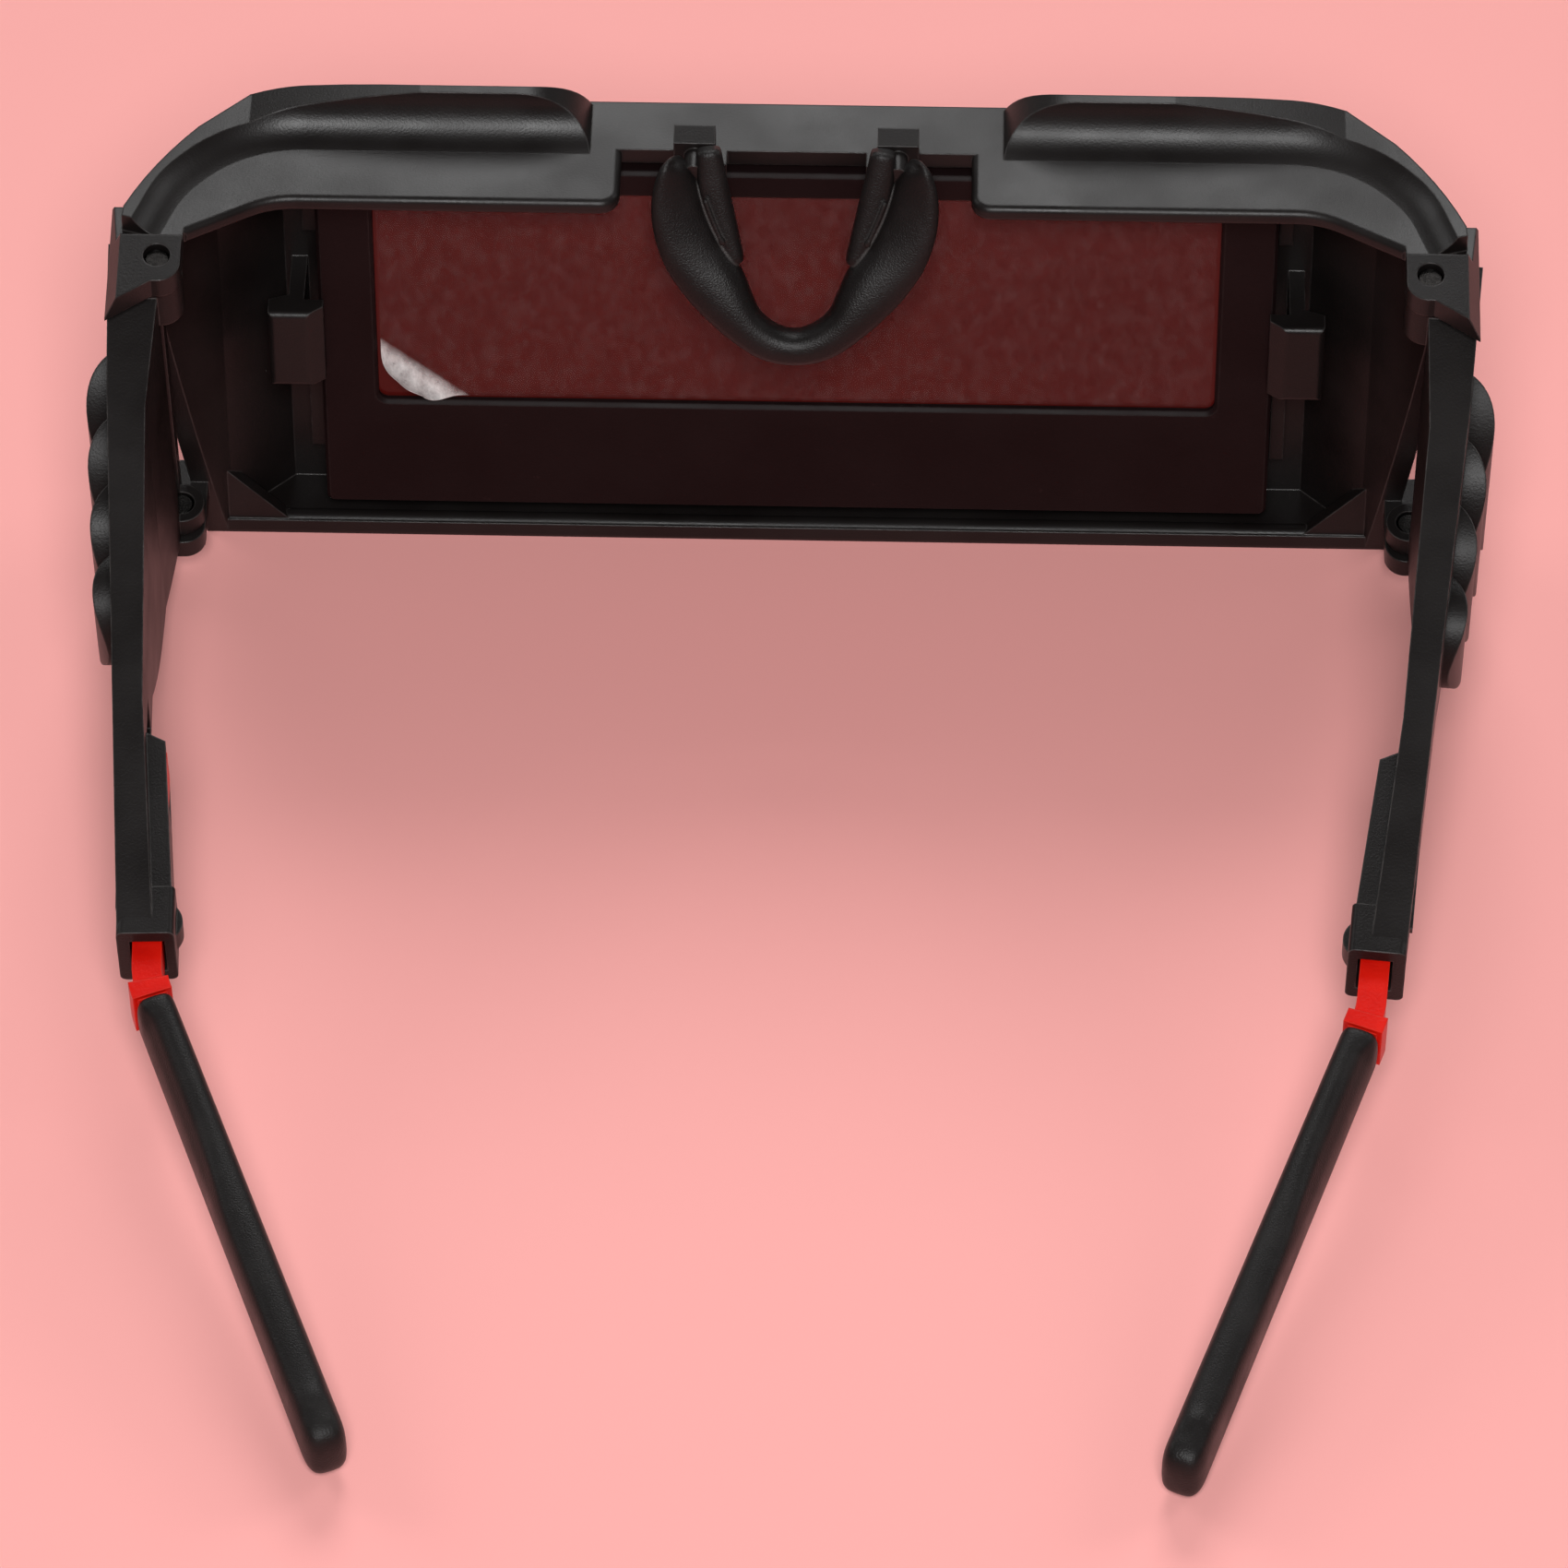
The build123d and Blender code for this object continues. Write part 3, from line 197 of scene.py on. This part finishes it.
def red_plastic(name):
    """Bright red moulding with cloudy tone and gloss, and paler edges that are a painted highlight."""
    s = Shader(name)
    clouds = s.noise(240.0)
    tone = s.ramp(clouds, 0.0, 1.0, start=0.35, end=0.65)
    colour = s.mix(tone, (0.56, 0.004, 0.001), (0.68, 0.008, 0.002))
    edges, rounded = s.edge_mask(STEM_EDGE)
    # paler edges: a painted highlight
    colour = s.mix(s.ramp(edges, 0.0, 0.35), colour, (0.90, 0.05, 0.02))
    cloudy_rough = s.ramp(clouds, 0.34, 0.44, start=0.3, end=0.7)
    normal = s.bump(s.noise(3000.0), 0.00004, Normal=rounded)
    s.surface(Base_Color=colour, Roughness=cloudy_rough, Normal=normal, Specular_IOR_Level=0.18)
    return s.material


def dark_pane(name, tint, rough=0.06):
    """Tinted optical face: dark, glossy, with faint smears that change the gloss."""
    s = Shader(name)
    smear = s.noise(55.0, detail=5.0, roughness=0.6, stretch=(1.0, 1.0, 2.2))
    colour = s.mix(smear, tint, scaled(tint, 1.25))
    smeared_rough = s.ramp(smear, rough, rough + 0.10, start=0.45, end=0.75)
    s.surface(Base_Color=colour, Roughness=smeared_rough)
    s.surface(Specular_IOR_Level=0.18, Coat_Weight=0.04, Coat_Roughness=0.04)
    return s.material


def clear_plastic(name):
    """Clear polished plate with hairline marks."""
    s = Shader(name)
    tint = (0.96, 0.98, 0.98)
    marks = s.noise(900.0, detail=4.0, roughness=0.8, stretch=(0.05, 1.0, 1.0))
    marked_rough = s.ramp(marks, 0.015, 0.12, start=0.60, end=0.75)
    colour = s.mix(marks, tint, scaled(tint, 0.97))
    s.surface(Base_Color=colour, Roughness=marked_rough, Transmission_Weight=1.0, IOR=1.49)
    return s.material


def thin_film(name, corner, fold, reach):
    """Clear film, nearly invisible where it lies flat and milky with creases where it has peeled."""
    s = Shader(name)
    crease = s.noise(650.0, detail=6.0, roughness=0.7, stretch=(1.0, 1.0, 0.6))
    offset = s.add("ShaderNodeVectorMath", {0: s.coords, 1: corner}, operation="SUBTRACT")
    inside = s.dot(offset.outputs["Vector"], fold)
    peeled = s.ramp(inside, 1.0, 0.0, start=0.85 * reach, end=1.1 * reach)
    clear = s.ramp(crease, 0.004, 0.018, start=0.45, end=0.75)
    milky = s.ramp(crease, 0.25, 0.65, start=0.35, end=0.65)
    colour = s.mix(crease, (0.80, 0.78, 0.77), (0.95, 0.94, 0.93))
    creased_rough = s.ramp(crease, 0.08, 0.30, start=0.4, end=0.7)
    s.surface(Base_Color=colour, Roughness=creased_rough, Normal=s.bump(crease, 0.00002))
    s.surface(Alpha=s.blend(peeled, clear, milky), Specular_IOR_Level=0.12)
    return s.material


def steel(name, dark, bright):
    """Steel whose tone and gloss vary in fine specks."""
    s = Shader(name)
    specks = s.noise(2600.0, detail=2.0)
    s.surface(Base_Color=s.mix(specks, dark, bright), Roughness=s.ramp(specks, 0.18, 0.36), Metallic=1.0)
    return s.material


def solar_face(name):
    """Glossy dark cell crossed by fine pale conductor lines."""
    s = Shader(name)
    wave = {"wave_type": "BANDS", "bands_direction": "X", "wave_profile": "SIN"}
    lines = s.add("ShaderNodeTexWave", {"Scale": 90.0, "Vector": s.coords}, **wave)
    thin = s.ramp(lines.outputs["Fac"], 0.0, 1.0, start=0.955, end=0.985)
    base = s.mix(s.noise(300.0), (0.012, 0.007, 0.022), (0.030, 0.014, 0.040))
    s.surface(Base_Color=s.mix(thin, base, (0.30, 0.28, 0.26)), Roughness=0.12, Coat_Weight=0.5)
    return s.material


def board(name):
    """Green circuit board with faint copper tracks under the solder mask."""
    s = Shader(name)
    greens = {
        "Color1": (0.010, 0.075, 0.030),
        "Color2": (0.014, 0.090, 0.036),
        "Mortar": (0.045, 0.170, 0.070),
    }
    tracks = s.add(
        "ShaderNodeTexBrick", {"Vector": s.coords, "Scale": 260.0, "Mortar Size": 0.04, **greens}
    )
    s.surface(Base_Color=tracks.outputs["Color"], Roughness=s.ramp(s.noise(500.0), 0.30, 0.45))
    return s.material


def paint(node, material):
    slots = nodes[node].data.materials
    slots.clear()
    slots.append(material)


frame_black = moulded_plastic("frame_plastic_black", BLACK_LOW, BLACK_HIGH, 0.38)
temple_black = moulded_plastic(
    "temple_plastic_black", BLACK_LOW, BLACK_HIGH, 0.42, grain=0.00003, edge_wear_and_highlight=0.8, gloss=0.20
)
case_black = moulded_plastic("filter_case_black", CASE_LOW, CASE_HIGH, 0.50, edge_wear_and_highlight=0.3, gloss=0.10)
nose_black = soft_rubber("nose_rubber_black", (0.0075, 0.0062, 0.0060), (0.015, 0.013, 0.013), 0.36)
sleeve_black = soft_rubber("sleeve_rubber_black", (0.0080, 0.0068, 0.0066), (0.019, 0.017, 0.016), 0.42)
# pins darkened far below steel's own tone: painted shade for the pins that sit deep in their holes
pin_steel = steel("pin_steel", (0.030, 0.028, 0.027), (0.060, 0.056, 0.054))
battery_steel = steel("battery_steel", (0.50, 0.49, 0.47), (0.74, 0.73, 0.71))
cell_face = solar_face("solar_cell_face")
sensor_lens = dark_pane("sensor_lens_dark", (0.020, 0.010, 0.014), 0.05)
stem_red = red_plastic("stem_red")

paint("front_frame", frame_black)
for case in ("filter_rear_case", "filter_front_case"):
    paint(case, case_black)
for name in ("rear_polariser", "middle_polariser", "front_polariser"):
    paint(name, dark_pane(name + "_tint", (0.062, 0.0050, 0.0040)))
for name in ("rear_liquid_crystal_cell", "front_liquid_crystal_cell"):
    paint(name, dark_pane(name + "_glass", (0.050, 0.052, 0.048), 0.03))
paint("uv_ir_filter_glass", dark_pane("filter_glass_coated", (0.010, 0.026, 0.020), 0.02))
paint("front_cover_plate", clear_plastic("cover_plate_clear"))
paint("circuit_board", board("circuit_board_green"))
paint("battery", battery_steel)
for side_name in ("left", "right"):
    paint(f"solar_cell_{side_name}", cell_face)
    paint(f"arc_sensor_{side_name}", sensor_lens)
    paint(f"temple_{side_name}", temple_black)
    paint(f"upper_hinge_pin_{side_name}", pin_steel)
    paint(f"lower_hinge_pin_{side_name}", pin_steel)
    paint(f"stem_{side_name}", stem_red)


# ---------------------------------------------------------------- mesh helpers
def new_piece(name, mesh, material, body, levels=0):
    """Links a mesh as a smooth-shaded piece that rides on a body."""
    piece = bpy.data.objects.new(name, mesh)
    bpy.context.scene.collection.objects.link(piece)
    mesh.materials.append(material)
    for polygon in mesh.polygons:
        polygon.use_smooth = True
    if levels:
        subdivision = piece.modifiers.new("subdivision", "SUBSURF")
        subdivision.levels = levels
        subdivision.render_levels = levels
    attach(piece, body)
    return piece


def built_mesh(name, mesh_data):
    """The mesh that bmesh has built, with its faces made to look the same way."""
    bmesh.ops.recalc_face_normals(mesh_data, faces=mesh_data.faces)
    mesh = bpy.data.meshes.new(name)
    mesh_data.to_mesh(mesh)
    mesh_data.free()
    return mesh


def loft(name, *tubes):
    """Skins each tube, a list of closed sections of points, and caps both its ends."""
    mesh_data = bmesh.new()
    for sections in tubes:
        rings = [[mesh_data.verts.new(point) for point in section] for section in sections]
        count = len(rings[0])
        for first, second in zip(rings, rings[1:]):
            for i in range(count):
                j = (i + 1) % count
                mesh_data.faces.new((first[i], first[j], second[j], second[i]))
        mesh_data.faces.new(rings[0][::-1])
        mesh_data.faces.new(rings[-1])
    return built_mesh(name, mesh_data)


def turns(count):
    """Angles that share a full turn equally."""
    return [2 * math.pi * k / count for k in range(count)]


def fuller(value, power):
    """A sine or cosine raised to a power below 1, its sign kept, so that a circle turns squarer."""
    return math.copysign(abs(value) ** power, value)


def smooth_step(value, low, high):
    """0 below low, 1 above high, with a smooth rise between."""
    x = min(max((value - low) / (high - low), 0.0), 1.0)
    return x * x * (3.0 - 2.0 * x)


def bell(x):
    """1 at 0, falling smoothly towards 0 on both sides."""
    return math.exp(-(x**2))


def rounded_size(distance, length, smallest):
    """A section's size near a rounded end: smallest at the end itself, 1 past the length."""
    x = 1 - min(distance / length, 1.0)
    return smallest + (1 - smallest) * math.sqrt(max(0.0, 1 - x**2))


def curve_value(u, before, start, end, after):
    """The value a share u of the way from start to end, on a smooth curve through all four."""
    return 0.5 * (
        2.0 * start
        + (end - before) * u
        + (2 * before - 5 * start + 4 * end - after) * u * u
        + (-before + 3 * start - 3 * end + after) * u**3
    )


def curve_points(points, count):
    """Points along a smooth curve through a few control points."""
    result = []
    spans = len(points) - 1
    for k in range(count):
        place = k / (count - 1) * spans
        i = min(int(place), spans - 1)
        near = (points[max(i - 1, 0)], points[i], points[i + 1], points[min(i + 2, spans)])
        result.append([curve_value(place - i, *values) for values in zip(*near)])
    return result


# ---------------------------------------------------------------- ear sleeves
# Millimetres, along the arm from its hinge or across it. The bend and the sleeve's two ends
# match the CAD stem.
STEM_OUT = {"left": 2.0, "right": 0.0}  # how far each stem is drawn out at rest
BEND_ANGLE = {"left": math.radians(15.0), "right": math.radians(19.5)}
BEND_START = 77.0
BEND_RADIUS = 12.0
STEM_CENTRE = 0.7  # how far outward the stem's middle lies before its bend
SLEEVE_START = 81.4
SLEEVE_END = 137.0
SLEEVE_HALF_THICK = 2.4
SLEEVE_HALF_HEIGHT = 4.3
SLEEVE_SLIM = 0.90  # size of the sleeve at its start, as a share of those two
THICK_GROWTH = 0.10  # and what each of them gains towards its tip
HEIGHT_GROWTH = 0.08
START_ROUND = 0.9  # length of the rounding at the start, and the size it starts from
START_SIZE = 0.86
TIP_ROUND = 2.6  # the same for the tip
TIP_SIZE = 0.45
SLEEVE_STATIONS = 48
CROWDING = 0.09  # how strongly the stations crowd towards the sleeve's rounded ends
SLEEVE_SIDES = 24
SIDE_FULLNESS = 0.55  # powers that make the section squarer than an ellipse
TOP_FULLNESS = 0.60
CORNER_REACH = 1.75  # how far a corner stands out, as a sum of its shares of both half sizes
FACET_CUT = 0.50  # how much of that a full facet takes away
FACET_RISE = (0.8, 3.0)  # the facet appears between these distances from the start
FACET_FADE = (0.25, 0.60)  # and fades between these shares of the sleeve's length
PIP_HEIGHT = 0.35  # the moulded pip near the tip
PIP_FROM_TIP = 5.5
PIP_LENGTH = 0.9
PIP_SPREAD = 22.0  # degrees of the section


def stem_offset(s, bend):
    """How far outward the stem's line lies past its bend at s, and its slope."""
    bend_end = BEND_START + BEND_RADIUS * math.sin(bend)
    drop = BEND_RADIUS * (1 - math.cos(bend))
    slope = -math.tan(bend)
    return STEM_CENTRE - drop + (s - bend_end) * slope, slope


def arm_frame(name):
    """The hinge point, the arm's directions along, outward and up, and its side of the face."""
    hinge = joints[f"{name}_temple_hinge"]
    side = 1.0 if name == "left" else -1.0
    up = Vector(hinge["axis"]) * -side
    along = Vector(joints[f"{name}_stem_slide"]["axis"]).normalized()
    outward = up.cross(along) * side
    return Vector(hinge["pos_m"]), along, outward, up, side


def sleeve_section(half_thick, half_height, facet, pip):
    """Rounded bar section whose upper outer edge has a facet, from 0 for none to 1 for full."""
    points = []
    reach = CORNER_REACH - FACET_CUT * facet
    for angle in turns(SLEEVE_SIDES):
        x = fuller(math.cos(angle), SIDE_FULLNESS)
        y = fuller(math.sin(angle), TOP_FULLNESS)
        if x > 0 and y > 0 and x + y > reach:
            x, y = x * reach / (x + y), y * reach / (x + y)
        rise = pip * bell((math.degrees(angle) - 90.0) / PIP_SPREAD)
        points.append((half_thick * x, half_height * y + rise))
    return points


def ear_sleeve(name):
    """Rubber sleeve over the stem's bent end, with a facet at its start and a pip near its tip."""
    origin, along, outward, up, side = arm_frame(name)
    # The stem's middle height along the hinge axis, read from the CAD stem.
    heights = [(vertex.co - origin).dot(up) for vertex in nodes[f"stem_{name}"].data.vertices]
    middle = (min(heights) + max(heights)) / 2 / MM
    sections = []
    for k in range(SLEEVE_STATIONS + 1):
        share = k / SLEEVE_STATIONS
        share = share - CROWDING * math.sin(2 * math.pi * share)
        s = SLEEVE_START + (SLEEVE_END - SLEEVE_START) * share
        offset, slope = stem_offset(s, BEND_ANGLE[name])
        from_start = s - SLEEVE_START
        from_tip = SLEEVE_END - s
        start_size = rounded_size(from_start, START_ROUND, START_SIZE)
        size = start_size * rounded_size(from_tip, TIP_ROUND, TIP_SIZE)
        half_thick = SLEEVE_HALF_THICK * size * (SLEEVE_SLIM + THICK_GROWTH * share)
        half_height = SLEEVE_HALF_HEIGHT * size * (SLEEVE_SLIM + HEIGHT_GROWTH * share)
        facet = smooth_step(from_start, *FACET_RISE) * (1.0 - smooth_step(share, *FACET_FADE))
        pip = PIP_HEIGHT * bell((from_tip - PIP_FROM_TIP) / PIP_LENGTH)
        tangent = (along + outward * slope).normalized()
        across = up.cross(tangent) * side
        centre = origin + (along * (s + STEM_OUT[name]) + outward * offset + up * middle) * MM
        section = sleeve_section(half_thick, half_height, facet, pip)
        sections.append([centre + (across * x + up * y) * MM for x, y in section])
    mesh = loft(f"ear_sleeve_{name}_soft", sections)
    piece = new_piece(f"ear_sleeve_{name}_soft", mesh, sleeve_black, f"{name}_stem", 1)
    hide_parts(f"ear_sleeve_{name}")


for side_name in ("left", "right"):
    ear_sleeve(side_name)


# ---------------------------------------------------------------- nose piece
NOSE_LEAN = math.radians(24.8)
NOSE_FORWARD = 2.78 * MM  # from the CAD piece's rear lower edge to the outlines' (0, 0)
NOSE_RAISE = 2.93 * MM
# Half of the saddle, from the middle of its closed end to a wing's tip, in millimetres in
# the plane it leans in: its outer edge and its inner edge.
SADDLE_OUTER = [(0.0, -3.7), (3.8, -3.0), (7.2, -0.8), (10.4, 2.1), (12.8, 5.0), (14.7, 8.3),
                (15.8, 12.2), (15.9, 15.8), (15.1, 18.9), (13.9, 20.4)]
SADDLE_INNER = [(0.0, 0.35), (2.0, 0.95), (3.7, 2.4), (4.7, 4.6), (5.8, 7.2), (7.4, 9.6),
                (9.0, 12.8), (10.5, 16.2), (11.6, 18.6), (12.9, 20.0)]
# One of the legs inside the wings that clip the piece on, with its width at each point, and
# the moulding seam beside it, which ends in a small round dot.
LEG_LINE = [(9.7, 21.0), (9.2, 17.0), (8.1, 12.6), (6.4, 7.6)]
LEG_WIDTH = [2.8, 3.4, 3.2, 1.9]
LEG_DEPTH = 3.0
LEG_SINK = 0.9  # how far the leg lies behind the saddle's plane
LEG_STATIONS = 14
SEAM_LINE = [(10.0, 15.6), (9.0, 12.9), (7.9, 10.3)]
SEAM_WIDTHS = [0.45] * 10 + [0.95, 0.5]
SEAM_DEPTH = 0.8
SEAM_RAISE = 0.9
SADDLE_STATIONS = 81
SADDLE_SIDES = 20
BAR_SIDES = 12
SADDLE_FULLNESS = 0.85
BAR_FULLNESS = 0.6
SADDLE_HALF_DEPTH = 2.5  # at the closed end
WING_THINNING = 1.1  # what the wings lose of it
TIP_THINNING = 0.55  # and the share of the rest that a wing's tip loses
WING_START, WING_FULL = 0.25, 0.75  # shares of the way from the closed end to a tip
TIP_START = 0.88
WING_TWIST = 2.4  # how much further a wing's outer edge is lifted than its inner edge
WING_SINK = 1.0

nose_low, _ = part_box("nose_piece")
NOSE_BASE = Vector((0, nose_low.y + NOSE_FORWARD, nose_low.z + NOSE_RAISE))
NOSE_UP = Vector((0, math.sin(NOSE_LEAN), math.cos(NOSE_LEAN)))
NOSE_OUT = Vector((0, -math.cos(NOSE_LEAN), math.sin(NOSE_LEAN)))


def nose_point(x, y, out):
    """The point x across and y up the saddle's leaning plane, and out from it to the face."""
    return NOSE_BASE + (Vector((x, 0, 0)) + NOSE_UP * y + NOSE_OUT * out) * MM


def saddle():
    """Sections of the saddle, from one wing's tip round the closed end to the other's."""
    def whole_curve(half):
        return curve_points([(-x, y) for x, y in half[:0:-1]] + half, SADDLE_STATIONS)

    rings = []
    for k, (outer, inner) in enumerate(zip(whole_curve(SADDLE_OUTER), whole_curve(SADDLE_INNER))):
        share = abs(2.0 * k / (SADDLE_STATIONS - 1) - 1.0)
        wing = smooth_step(share, WING_START, WING_FULL)
        tip = smooth_step(share, TIP_START, 1.0)
        depth = (SADDLE_HALF_DEPTH - WING_THINNING * wing) * (1.0 - TIP_THINNING * tip)
        ring = []
        for angle in turns(SADDLE_SIDES):
            a = 0.5 + 0.5 * fuller(math.cos(angle), SADDLE_FULLNESS)
            x = inner[0] + (outer[0] - inner[0]) * a
            y = inner[1] + (outer[1] - inner[1]) * a
            out = depth * fuller(math.sin(angle), SADDLE_FULLNESS)
            ring.append(nose_point(x, y, out + wing * (WING_TWIST * a - WING_SINK)))
        rings.append(ring)
    return rings


def bar(line, widths, depth, out, side):
    """Sections of a rounded bar along a line in the saddle's plane."""
    rings = []
    for k, (x, y) in enumerate(line):
        ahead = line[min(k + 1, len(line) - 1)]
        behind = line[max(k - 1, 0)]
        run = Vector((ahead[0] - behind[0], ahead[1] - behind[1], 0)).normalized()
        ring = []
        for angle in turns(BAR_SIDES):
            a = widths[k] / 2 * fuller(math.cos(angle), BAR_FULLNESS)
            n = depth / 2 * fuller(math.sin(angle), BAR_FULLNESS)
            ring.append(nose_point(side * (x - run.y * a), y + run.x * a, n + out))
        rings.append(ring)
    return rings


def nose_piece():
    """Soft saddle with two leaf-shaped wings, the legs that clip it on, and a seam by each."""
    leg = curve_points(LEG_LINE, LEG_STATIONS)
    leg_widths = [point[0] for point in curve_points([(w,) for w in LEG_WIDTH], LEG_STATIONS)]
    seam = curve_points(SEAM_LINE, len(SEAM_WIDTHS))
    tubes = [saddle()]
    for side in (-1, 1):
        tubes.append(bar(leg, leg_widths, LEG_DEPTH, -LEG_SINK, side))
        tubes.append(bar(seam, SEAM_WIDTHS, SEAM_DEPTH, SEAM_RAISE, side))
    mesh = loft("nose_piece_soft", *tubes)
    piece = new_piece("nose_piece_soft", mesh, nose_black, "front", 1)
    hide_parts("nose_piece")


nose_piece()


# ---------------------------------------------------------------- inner film
FILM_THICKNESS = 0.05 * MM
FILM_COLUMNS, FILM_ROWS = 96, 48
COLUMN_CROWDING, ROW_CROWDING = 1.9, 1.5  # powers that crowd the grid towards the peeled corner
PEEL_DIRECTION = Vector((1.0, 0, 1.15)).normalized()  # the way the corner peels
PEEL_REACH = 6.0 * MM  # from the corner to the line where the film lifts
CURL_RADIUS = 1.7 * MM
CURL_TURN = 2.2  # radians that the curl turns through before it ends
RIPPLE_HEIGHT = 0.25 * MM
RIPPLE_RATE = 900.0  # radians per metre of x - z
RIPPLE_RISE = 2 * MM  # how far past the fold the ripple grows to its full height


def inner_film():
    """Thin sheet over the window whose lower corner, at the wearer's right, has peeled."""
    low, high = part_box("inner_film")
    width, height = high.x - low.x, high.z - low.z
    mesh_data = bmesh.new()
    grid = []
    for i in range(FILM_COLUMNS + 1):
        x = low.x + width * (i / FILM_COLUMNS) ** COLUMN_CROWDING
        column = []
        for j in range(FILM_ROWS + 1):
            z = low.z + height * (j / FILM_ROWS) ** ROW_CROWDING
            inside = Vector((x - low.x, 0, z - low.z)).dot(PEEL_DIRECTION)
            past = PEEL_REACH - inside
            point = Vector((x, low.y, z))
            if past > 0:
                angle = min(past / CURL_RADIUS, CURL_TURN)
                flat = CURL_RADIUS * math.sin(angle)
                lift = CURL_RADIUS * (1 - math.cos(angle))
                ripple = RIPPLE_HEIGHT * math.sin(RIPPLE_RATE * (x - z)) * min(past / RIPPLE_RISE, 1.0)
                point += PEEL_DIRECTION * (past - flat) + Vector((0, -lift - ripple, 0))
            column.append(mesh_data.verts.new(point))
        grid.append(column)
    for first, second in zip(grid, grid[1:]):
        for j in range(FILM_ROWS):
            mesh_data.faces.new((first[j], second[j], second[j + 1], first[j + 1]))
    mesh = built_mesh("inner_film_peeled", mesh_data)
    film = thin_film("film_clear", low, PEEL_DIRECTION, PEEL_REACH)
    piece = new_piece("inner_film_peeled", mesh, film, "front")
    thickness = piece.modifiers.new("thickness", "SOLIDIFY")
    thickness.thickness = FILM_THICKNESS
    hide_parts("inner_film")


inner_film()


# ---------------------------------------------------------------- floor and light
FLOOR_SIZE = 6.0
FLOOR_GAP = 0.05 * MM
FLOOR_LOW, FLOOR_HIGH = (0.93, 0.40, 0.38), (0.95, 0.42, 0.40)
SKY_COLOUR = (1.0, 0.985, 0.975, 1.0)
SKY_STRENGTH = 0.10
LIGHT_TARGET = Vector((0, -0.07, 0.03))


def paper_floor():
    bpy.ops.mesh.primitive_plane_add(size=FLOOR_SIZE, location=(0, 0, cad_low.z - FLOOR_GAP))
    floor = bpy.context.object
    floor.name = "studio_floor"
    paper = Shader("studio_paper")
    tone = paper.mix(paper.noise(3.0, detail=2.0), FLOOR_LOW, FLOOR_HIGH)
    paper.surface(Base_Color=tone, Roughness=0.85, Specular_IOR_Level=0.2)
    floor.data.materials.append(paper.material)


def sky(scene):
    """Faint even light from all round."""
    scene.world = bpy.data.worlds.new("studio_world")
    scene.world.use_nodes = True
    background = scene.world.node_tree.nodes["Background"]
    background.inputs["Color"].default_value = SKY_COLOUR
    background.inputs["Strength"].default_value = SKY_STRENGTH


def soft_light(scene, name, place, size, power):
    """A round lamp that shines on the goggles."""
    data = bpy.data.lights.new(name, "AREA")
    data.shape = "DISK"
    data.size = size
    data.energy = power
    lamp = bpy.data.objects.new(name, data)
    scene.collection.objects.link(lamp)
    lamp.location = place
    lamp.rotation_euler = (LIGHT_TARGET - Vector(place)).to_track_quat("-Z", "Y").to_euler()


def studio():
    scene = bpy.context.scene
    scene.view_settings.view_transform = "Standard"
    scene.view_settings.look = "None"
    paper_floor()
    sky(scene)
    soft_light(scene, "key_light", (0.03, -0.98, 1.02), 0.40, 14.5)
    soft_light(scene, "top_light", (0.0, 0.95, 1.05), 0.70, 7.5)
    soft_light(scene, "left_light", (-1.0, 0.45, 0.70), 0.6, 2.6)
    soft_light(scene, "right_light", (1.0, 0.45, 0.70), 0.6, 2.6)


studio()


# ---------------------------------------------------------------- camera
CAMERA_AZIMUTH = math.radians(1.32)
CAMERA_ELEVATION = math.radians(45.0)
CAMERA_DISTANCE = 1.0896  # along the view, to the filter's rear face
CAMERA_SPAN = 0.17758  # width of the view at that distance
AIM_RIGHT, AIM_DOWN = 0.0014, -0.0497  # from that face's middle to the picture's middle
SENSOR_WIDTH = 36.0
CLIP_START, CLIP_END = 0.05, 20.0


def camera():
    back = Vector(
        (
            math.sin(CAMERA_AZIMUTH) * math.cos(CAMERA_ELEVATION),
            -math.cos(CAMERA_AZIMUTH) * math.cos(CAMERA_ELEVATION),
            math.sin(CAMERA_ELEVATION),
        )
    )
    turn = (-back).to_track_quat("-Z", "Y")
    right, up = turn @ Vector((1, 0, 0)), turn @ Vector((0, 1, 0))
    case_low, case_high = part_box("filter_rear_case")
    target = Vector((0, case_low.y, (case_low.z + case_high.z) / 2))
    data = bpy.data.cameras.new("photo_camera")
    data.sensor_width = SENSOR_WIDTH
    data.lens = SENSOR_WIDTH * CAMERA_DISTANCE / CAMERA_SPAN
    data.clip_start, data.clip_end = CLIP_START, CLIP_END
    view = bpy.data.objects.new("photo_camera", data)
    bpy.context.scene.collection.objects.link(view)
    view.location = target - right * AIM_RIGHT + up * AIM_DOWN + back * CAMERA_DISTANCE
    view.rotation_mode = "QUATERNION"
    view.rotation_quaternion = turn
    bpy.context.scene.camera = view


camera()
